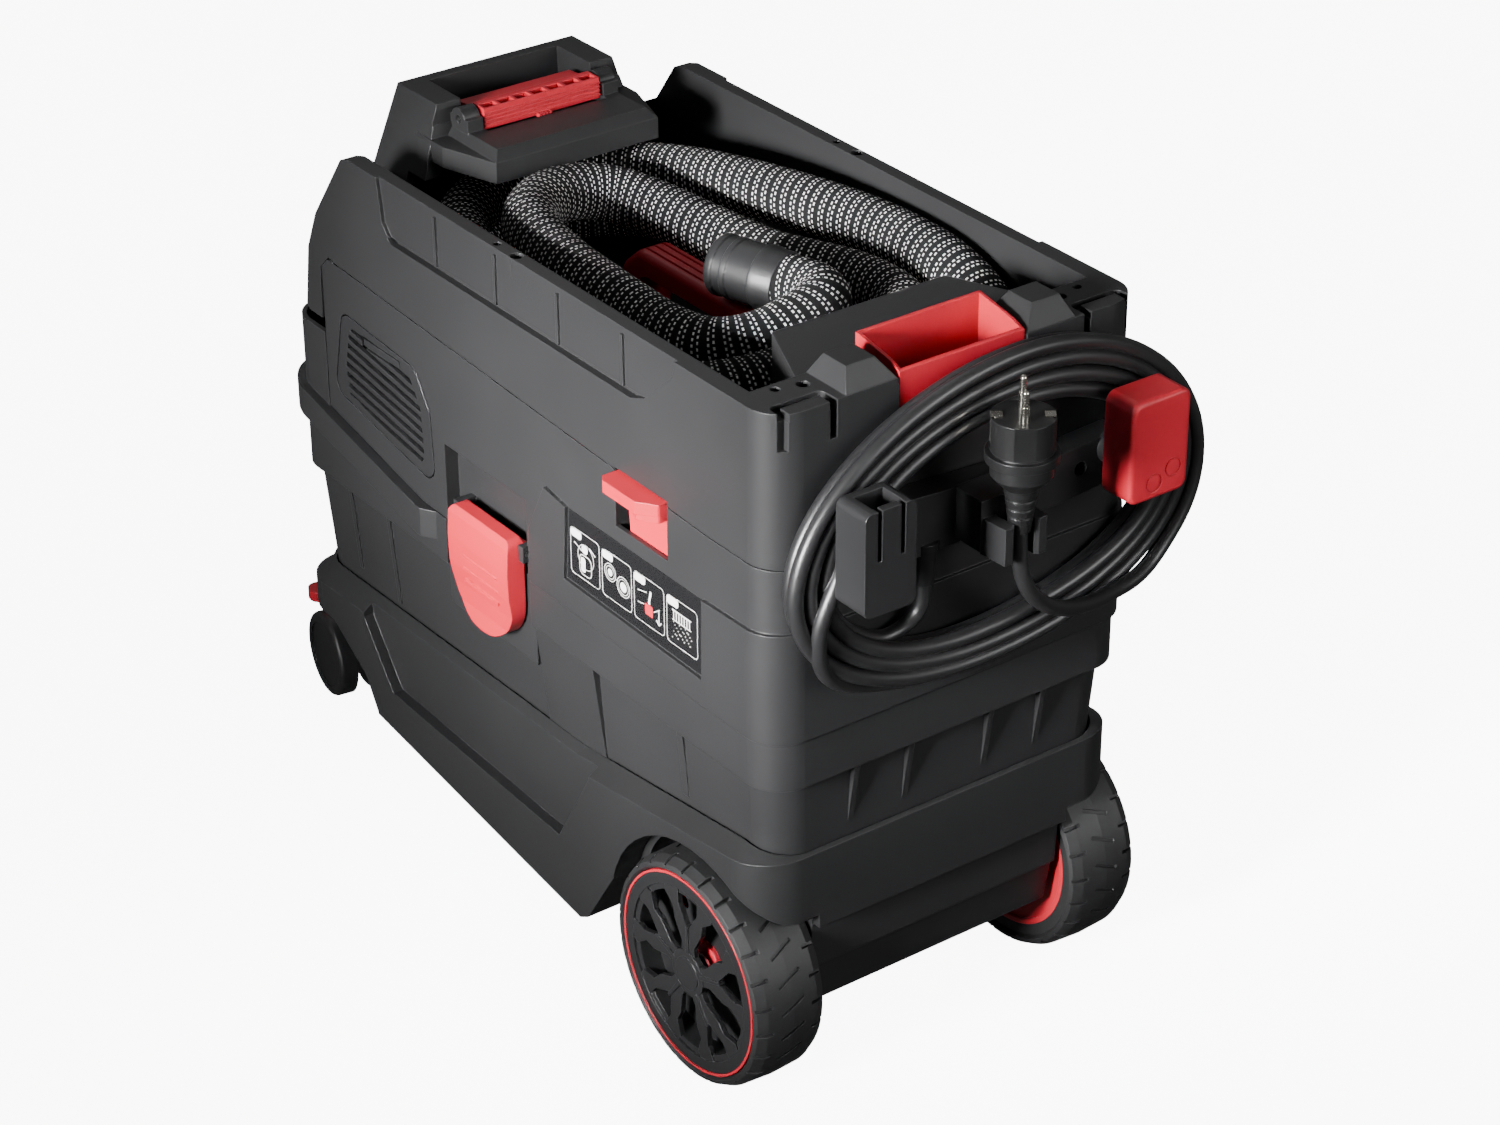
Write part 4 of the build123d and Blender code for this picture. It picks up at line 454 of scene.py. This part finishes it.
# ---------------------------------------------------------------- material building blocks
class Nodes:
    """Short spellings for building one node material."""

    def __init__(self, name):
        self.material = bpy.data.materials.new(name)
        self.material.use_nodes = True
        self.tree = self.material.node_tree
        self.shader = self.tree.nodes["Principled BSDF"]

    def new(self, kind, **settings):
        node = self.tree.nodes.new(kind)
        for key, value in settings.items():
            setattr(node, key, value)
        return node

    def link(self, source, target):
        self.tree.links.new(source, target)

    def math(self, operation, a, b=0.0, c=0.0):
        node = self.new("ShaderNodeMath", operation=operation)
        for socket, value in zip(node.inputs, (a, b, c)):
            if hasattr(value, "links"):
                self.link(value, socket)
            else:
                socket.default_value = value
        return node.outputs[0]

    def place(self):
        return self.new("ShaderNodeTexCoord").outputs["Object"]

    def noise(self, scale, detail=2.0, roughness=0.5, vector=None):
        node = self.new("ShaderNodeTexNoise")
        node.inputs["Scale"].default_value = scale
        node.inputs["Detail"].default_value = detail
        node.inputs["Roughness"].default_value = roughness
        self.link(vector or self.place(), node.inputs["Vector"])
        return node.outputs["Fac"]

    def ramp(self, value, low, high, out_low=0.0, out_high=1.0):
        node = self.new("ShaderNodeMapRange")
        node.inputs["From Min"].default_value = low
        node.inputs["From Max"].default_value = high
        node.inputs["To Min"].default_value = out_low
        node.inputs["To Max"].default_value = out_high
        self.link(value, node.inputs["Value"])
        return node.outputs["Result"]

    def mix(self, factor, a, b):
        node = self.new("ShaderNodeMix", data_type="RGBA")
        self.link(factor, node.inputs["Factor"])
        for socket, value in ((node.inputs[6], a), (node.inputs[7], b)):
            if hasattr(value, "links"):
                self.link(value, socket)
            else:
                socket.default_value = (*value, 1.0)
        return node.outputs[2]

    def bump(self, height, strength, distance, normal=None):
        node = self.new("ShaderNodeBump")
        node.inputs["Strength"].default_value = strength
        node.inputs["Distance"].default_value = distance
        self.link(height, node.inputs["Height"])
        if normal:
            self.link(normal, node.inputs["Normal"])
        return node.outputs["Normal"]

    def edges(self, radius):
        """(rounded normal, mask that is 1 on convex and concave edges)."""
        bevel = self.new("ShaderNodeBevel", samples=6)
        bevel.inputs["Radius"].default_value = radius
        flat = self.new("ShaderNodeNewGeometry").outputs["Normal"]
        dot = self.new("ShaderNodeVectorMath", operation="DOT_PRODUCT")
        self.link(bevel.outputs["Normal"], dot.inputs[0])
        self.link(flat, dot.inputs[1])
        mask = self.ramp(dot.outputs["Value"], 0.995, 0.80)
        return bevel.outputs["Normal"], mask


def moulded(name, base, worn_and_sheen, rough, grain=0.00035, bump=0.25, edge=0.0008, specular=0.5):
    """Moulded plastic: fine grain, faint clouding, rounded and slightly polished edges; the edges are lighter,
    partly wear and partly painted sheen.
    """
    n = Nodes(name)
    rounded, mask = n.edges(edge)
    cloud = n.noise(9.0, 4.0, 0.6)
    fine = n.noise(1 / (grain * 2), 3.0, 0.6)
    dark = tuple(c * 0.86 for c in base)
    body = n.mix(n.ramp(cloud, 0.3, 0.7), dark, base)
    speck = n.ramp(fine, 0.35, 0.75, 0.0, 0.35)
    body = n.mix(speck, body, tuple(min(1.0, c * 1.35 + 0.002) for c in base))
    # painted sheen and wear: edges, convex and concave, are mixed towards a lighter colour
    edge_wear_and_sheen = n.math("MULTIPLY", mask, n.ramp(n.noise(70.0, 3.0), 0.35, 0.75, 0.25, 0.8))
    n.link(n.mix(edge_wear_and_sheen, body, worn_and_sheen), n.shader.inputs["Base Color"])
    level = n.math("ADD", n.ramp(fine, 0.3, 0.7, rough - 0.05, rough + 0.05), n.ramp(cloud, 0.3, 0.7, -0.03, 0.03))
    n.link(n.math("SUBTRACT", level, n.math("MULTIPLY", mask, 0.12)), n.shader.inputs["Roughness"])
    n.link(n.bump(fine, bump, 0.0002, rounded), n.shader.inputs["Normal"])
    n.shader.inputs["Specular IOR Level"].default_value = specular
    return n.material


def rubber(name, base, rough, scale=900.0, bump=0.3):
    """Rubber with a dry, faintly dusty surface; the edges are lighter, partly wear and partly painted sheen."""
    n = Nodes(name)
    rounded, mask = n.edges(0.0007)
    fine = n.noise(scale, 4.0, 0.65)
    dust = n.ramp(n.noise(22.0, 5.0, 0.7), 0.45, 0.8, 0.0, 0.5)
    body = n.mix(dust, base, tuple(c * 1.6 + 0.004 for c in base))
    # painted sheen and wear: edges, convex and concave, are mixed towards a lighter colour
    body = n.mix(n.math("MULTIPLY", mask, 0.5), body, tuple(c * 2.2 + 0.006 for c in base))
    n.link(body, n.shader.inputs["Base Color"])
    n.link(n.ramp(fine, 0.3, 0.7, rough - 0.06, rough + 0.06), n.shader.inputs["Roughness"])
    n.link(n.bump(fine, bump, 0.0002, rounded), n.shader.inputs["Normal"])
    return n.material


def metal(name, base, rough, stretch=(1.0, 1.0, 1.0)):
    """Bright metal with fine turning marks."""
    n = Nodes(name)
    rounded, _ = n.edges(0.0003)
    mapping = n.new("ShaderNodeMapping")
    mapping.inputs["Scale"].default_value = stretch
    n.link(n.place(), mapping.inputs["Vector"])
    marks = n.noise(1400.0, 2.0, 0.5, mapping.outputs["Vector"])
    n.link(n.mix(marks, tuple(c * 0.85 for c in base), base), n.shader.inputs["Base Color"])
    n.link(n.ramp(marks, 0.3, 0.7, rough - 0.05, rough + 0.08), n.shader.inputs["Roughness"])
    n.link(n.bump(marks, 0.15, 0.0001, rounded), n.shader.inputs["Normal"])
    n.shader.inputs["Metallic"].default_value = 1.0
    return n.material


ROW_PITCH = 0.0076                  # metres between the pairs of dash rows along the hose
ROW_GAP = 0.0026                    # metres between the two rows of a pair
DASH_PITCH = 0.0037                 # metres between dashes round the hose
DASH_WIDTH = 0.0012
DASH_SHARE = 0.28                   # half of the dash's share of its pitch


def sleeve_material():
    """Black woven sleeve with paired rows of white dashes, and a fine plain weave between them."""
    n = Nodes("hose_sleeve")
    uv = n.new("ShaderNodeUVMap", uv_map="along").outputs["UV"]
    split = n.new("ShaderNodeSeparateXYZ")
    n.link(uv, split.inputs[0])
    drift = n.ramp(n.noise(14.0, 2.0), 0.3, 0.7, -0.0009, 0.0009)
    along, around = n.math("ADD", split.outputs["X"], drift), split.outputs["Y"]
    # the rows follow the wire under the sleeve, so they wind round the hose
    wound = n.math("SUBTRACT", along, n.math("MULTIPLY", around, ROW_PITCH / (math.pi * HOSE_D / 1000)))
    row = n.math("FRACT", n.math("DIVIDE", wound, ROW_PITCH))
    cell = n.math("FLOOR", n.math("DIVIDE", wound, ROW_PITCH))
    stagger = n.math("MULTIPLY", n.math("FRACT", n.math("MULTIPLY", cell, 0.31)), DASH_PITCH)
    dashes = []
    for side in (-0.5, 0.5):
        centre = 0.5 + side * ROW_GAP / ROW_PITCH
        off = n.math("ABSOLUTE", n.math("SUBTRACT", row, centre))
        across = n.ramp(off, DASH_WIDTH / 2 / ROW_PITCH, DASH_WIDTH / 2.8 / ROW_PITCH)
        shift = n.math("ADD", around, n.math("ADD", stagger, DASH_PITCH * (0.25 + 0.5 * side)))
        step = n.math("FRACT", n.math("DIVIDE", shift, DASH_PITCH))
        length = n.ramp(n.math("ABSOLUTE", n.math("SUBTRACT", step, 0.5)), DASH_SHARE, DASH_SHARE * 0.8)
        dashes.append(n.math("MULTIPLY", across, length))
    white = n.math("MAXIMUM", *dashes)
    weave_a = n.math("SINE", n.math("MULTIPLY", n.math("ADD", wound, n.math("MULTIPLY", around, 0.6)), 7200.0))
    weave_b = n.math("SINE", n.math("MULTIPLY", n.math("SUBTRACT", wound, n.math("MULTIPLY", around, 0.6)), 7200.0))
    weave = n.math("MULTIPLY", weave_a, weave_b)
    thread = n.mix(n.ramp(weave, -1, 1), (0.0015, 0.0015, 0.0016), (0.005, 0.005, 0.0053))
    fade = n.ramp(n.noise(60.0, 3.0), 0.3, 0.7, 0.7, 1.0)
    colour = n.mix(n.math("MULTIPLY", white, fade), thread, (0.80, 0.80, 0.78))
    n.link(colour, n.shader.inputs["Base Color"])
    n.shader.inputs["Roughness"].default_value = 0.85
    n.shader.inputs["Specular IOR Level"].default_value = 0.2
    height = n.math("ADD", n.math("MULTIPLY", weave, 0.35), n.math("MULTIPLY", white, 0.6))
    n.link(n.bump(height, 0.5, 0.0003), n.shader.inputs["Normal"])
    return n.material


def paper_material():
    """Filter paper with faint fibres."""
    n = Nodes("filter_paper")
    fibres = n.noise(600.0, 6.0, 0.7)
    n.link(n.mix(fibres, (0.70, 0.68, 0.60), (0.85, 0.83, 0.76)), n.shader.inputs["Base Color"])
    n.link(n.bump(fibres, 0.4, 0.0003), n.shader.inputs["Normal"])
    n.shader.inputs["Roughness"].default_value = 0.9
    return n.material


def foam_material():
    """Open-cell foam."""
    n = Nodes("foam")
    cells = n.new("ShaderNodeTexVoronoi")
    cells.inputs["Scale"].default_value = 700.0
    n.link(n.place(), cells.inputs["Vector"])
    n.link(n.mix(cells.outputs["Distance"], (0.01, 0.01, 0.011), (0.07, 0.07, 0.072)), n.shader.inputs["Base Color"])
    n.link(n.bump(cells.outputs["Distance"], 0.8, 0.0006), n.shader.inputs["Normal"])
    n.shader.inputs["Roughness"].default_value = 0.95
    return n.material


MATERIALS = {
    # moulded(name, base colour, lighter edge colour for wear and painted sheen, roughness)
    "body_plastic": moulded("body_plastic", (0.014, 0.014, 0.0146), (0.040, 0.040, 0.042), 0.46, specular=0.42),
    "chassis_plastic": moulded("chassis_plastic", (0.013, 0.013, 0.0135), (0.038, 0.038, 0.040), 0.46, specular=0.4),
    "fitting_plastic": moulded("fitting_plastic", (0.013, 0.013, 0.0137), (0.05, 0.05, 0.052), 0.42, specular=0.42),
    "red_plastic": moulded("red_plastic", (0.44, 0.012, 0.024), (0.55, 0.04, 0.055), 0.4, bump=0.12),
    "tyre_rubber": rubber("tyre_rubber", (0.010, 0.010, 0.0105), 0.55),
    "caster_tread": rubber("caster_tread", (0.010, 0.010, 0.0105), 0.45),
    "plug_rubber": rubber("plug_rubber", (0.007, 0.007, 0.0073), 0.36),
    "cord_rubber": rubber("cord_rubber", (0.011, 0.011, 0.0115), 0.38, scale=1500.0, bump=0.15),
    "seal_rubber": rubber("seal_rubber", (0.03, 0.03, 0.03), 0.6),
    "steel": metal("steel", (0.56, 0.56, 0.57), 0.3),
    "contact_brass": metal("contact_brass", (0.80, 0.77, 0.68), 0.2),
    "copper_winding": metal("copper_winding", (0.55, 0.22, 0.10), 0.35, (1.0, 1.0, 8.0)),
    "aluminium_fan": metal("aluminium_fan", (0.72, 0.72, 0.74), 0.32),
    "board": moulded("board", (0.02, 0.11, 0.05), (0.05, 0.16, 0.08), 0.45),
    "filter_paper": paper_material(),
    "foam": foam_material(),
    "hose_textile": sleeve_material(),
    "label_film": moulded("label_film", (0.006, 0.006, 0.0065), (0.02, 0.02, 0.02), 0.3, bump=0.08),
    "print_white": moulded("print_white", (0.74, 0.74, 0.73), (0.8, 0.8, 0.8), 0.45, bump=0.08),
}


def paint(obj, name):
    """Give an object one material."""
    obj.data.materials.clear()
    obj.data.materials.append(MATERIALS[name])


def paint_nodes():
    """Every CAD node takes the material of its slot."""
    for entry in frame["record"]["subparts"]:
        node = NODES[entry["node"]]
        material = MATERIALS[entry["material_slot"]]
        if not node.material_slots:
            node.data.materials.append(material)
        for slot_place in node.material_slots:
            slot_place.link = "OBJECT"
            slot_place.material = material


paint_nodes()
paint(lead, "cord_rubber")
paint(hose, "hose_textile")
paint(cuff_near, "fitting_plastic")
paint(cuff_far, "fitting_plastic")
for piece in labels:
    paint(piece, "label_film" if piece.name.endswith("film") else
          "red_plastic" if piece.name.endswith("red") else "print_white")


# ---------------------------------------------------------------- studio
def area_light(name, at, towards, size, power):
    """Soft rectangular light aimed at a point."""
    data = bpy.data.lights.new(name, "AREA")
    data.shape = "RECTANGLE"
    data.size, data.size_y = size
    data.energy = power
    lamp = link(bpy.data.objects.new(name, data))
    lamp.location = Vector(at)
    lamp.rotation_euler = (Vector(towards) - Vector(at)).to_track_quat("-Z", "Y").to_euler()
    return lamp


FLOOR_HALF = 14.0                   # metres
FLOOR_GLOW = 9.0                    # keeps the floor near white
WORLD_BELOW, WORLD_ABOVE = 0.06, 0.15   # strength of the surroundings below and above the horizon


def make_studio():
    """Pale floor, white surroundings and soft lights: the side is lit, the rear and the lower parts are not."""
    half = FLOOR_HALF
    floor = mesh_object("floor", [(-half, -half, 0), (half, -half, 0), (half, half, 0), (-half, half, 0)],
                        [(0, 1, 2, 3)])
    n = Nodes("floor")
    tint = n.noise(3.0, 2.0)
    n.link(n.mix(tint, (0.93, 0.93, 0.93), (0.96, 0.96, 0.96)), n.shader.inputs["Base Color"])
    n.shader.inputs["Roughness"].default_value = 0.9
    n.shader.inputs["Emission Color"].default_value = (1, 1, 1, 1)
    n.shader.inputs["Emission Strength"].default_value = FLOOR_GLOW
    floor.data.materials.append(n.material)
    floor.visible_diffuse = False
    floor.visible_glossy = False
    world = bpy.data.worlds.new("studio")
    bpy.context.scene.world = world
    world.use_nodes = True
    nodes, links = world.node_tree.nodes, world.node_tree.links
    place = nodes.new("ShaderNodeTexCoord")
    split = nodes.new("ShaderNodeSeparateXYZ")
    height = nodes.new("ShaderNodeMapRange")
    height.inputs["From Min"].default_value = -0.25
    height.inputs["From Max"].default_value = 0.05
    height.inputs["To Min"].default_value = WORLD_BELOW
    height.inputs["To Max"].default_value = WORLD_ABOVE
    links.new(place.outputs["Generated"], split.inputs[0])
    links.new(split.outputs["Z"], height.inputs["Value"])
    nodes["Background"].inputs[0].default_value = (1, 1, 1, 1)
    links.new(height.outputs["Result"], nodes["Background"].inputs[1])
    key = area_light("left_softbox", (1.5, 0.42, 0.75), (0.13, 0.12, 0.35), (0.5, 0.4), 8)
    key.data.spread = math.radians(28)
    area_light("rear_softbox", (-0.9, 2.6, 1.2), (0, 0.2, 0.36), (1.2, 1.0), 44)
    area_light("top_softbox", (-0.4, -1.4, 2.4), (0, 0, 0.45), (1.0, 1.0), 4)


make_studio()
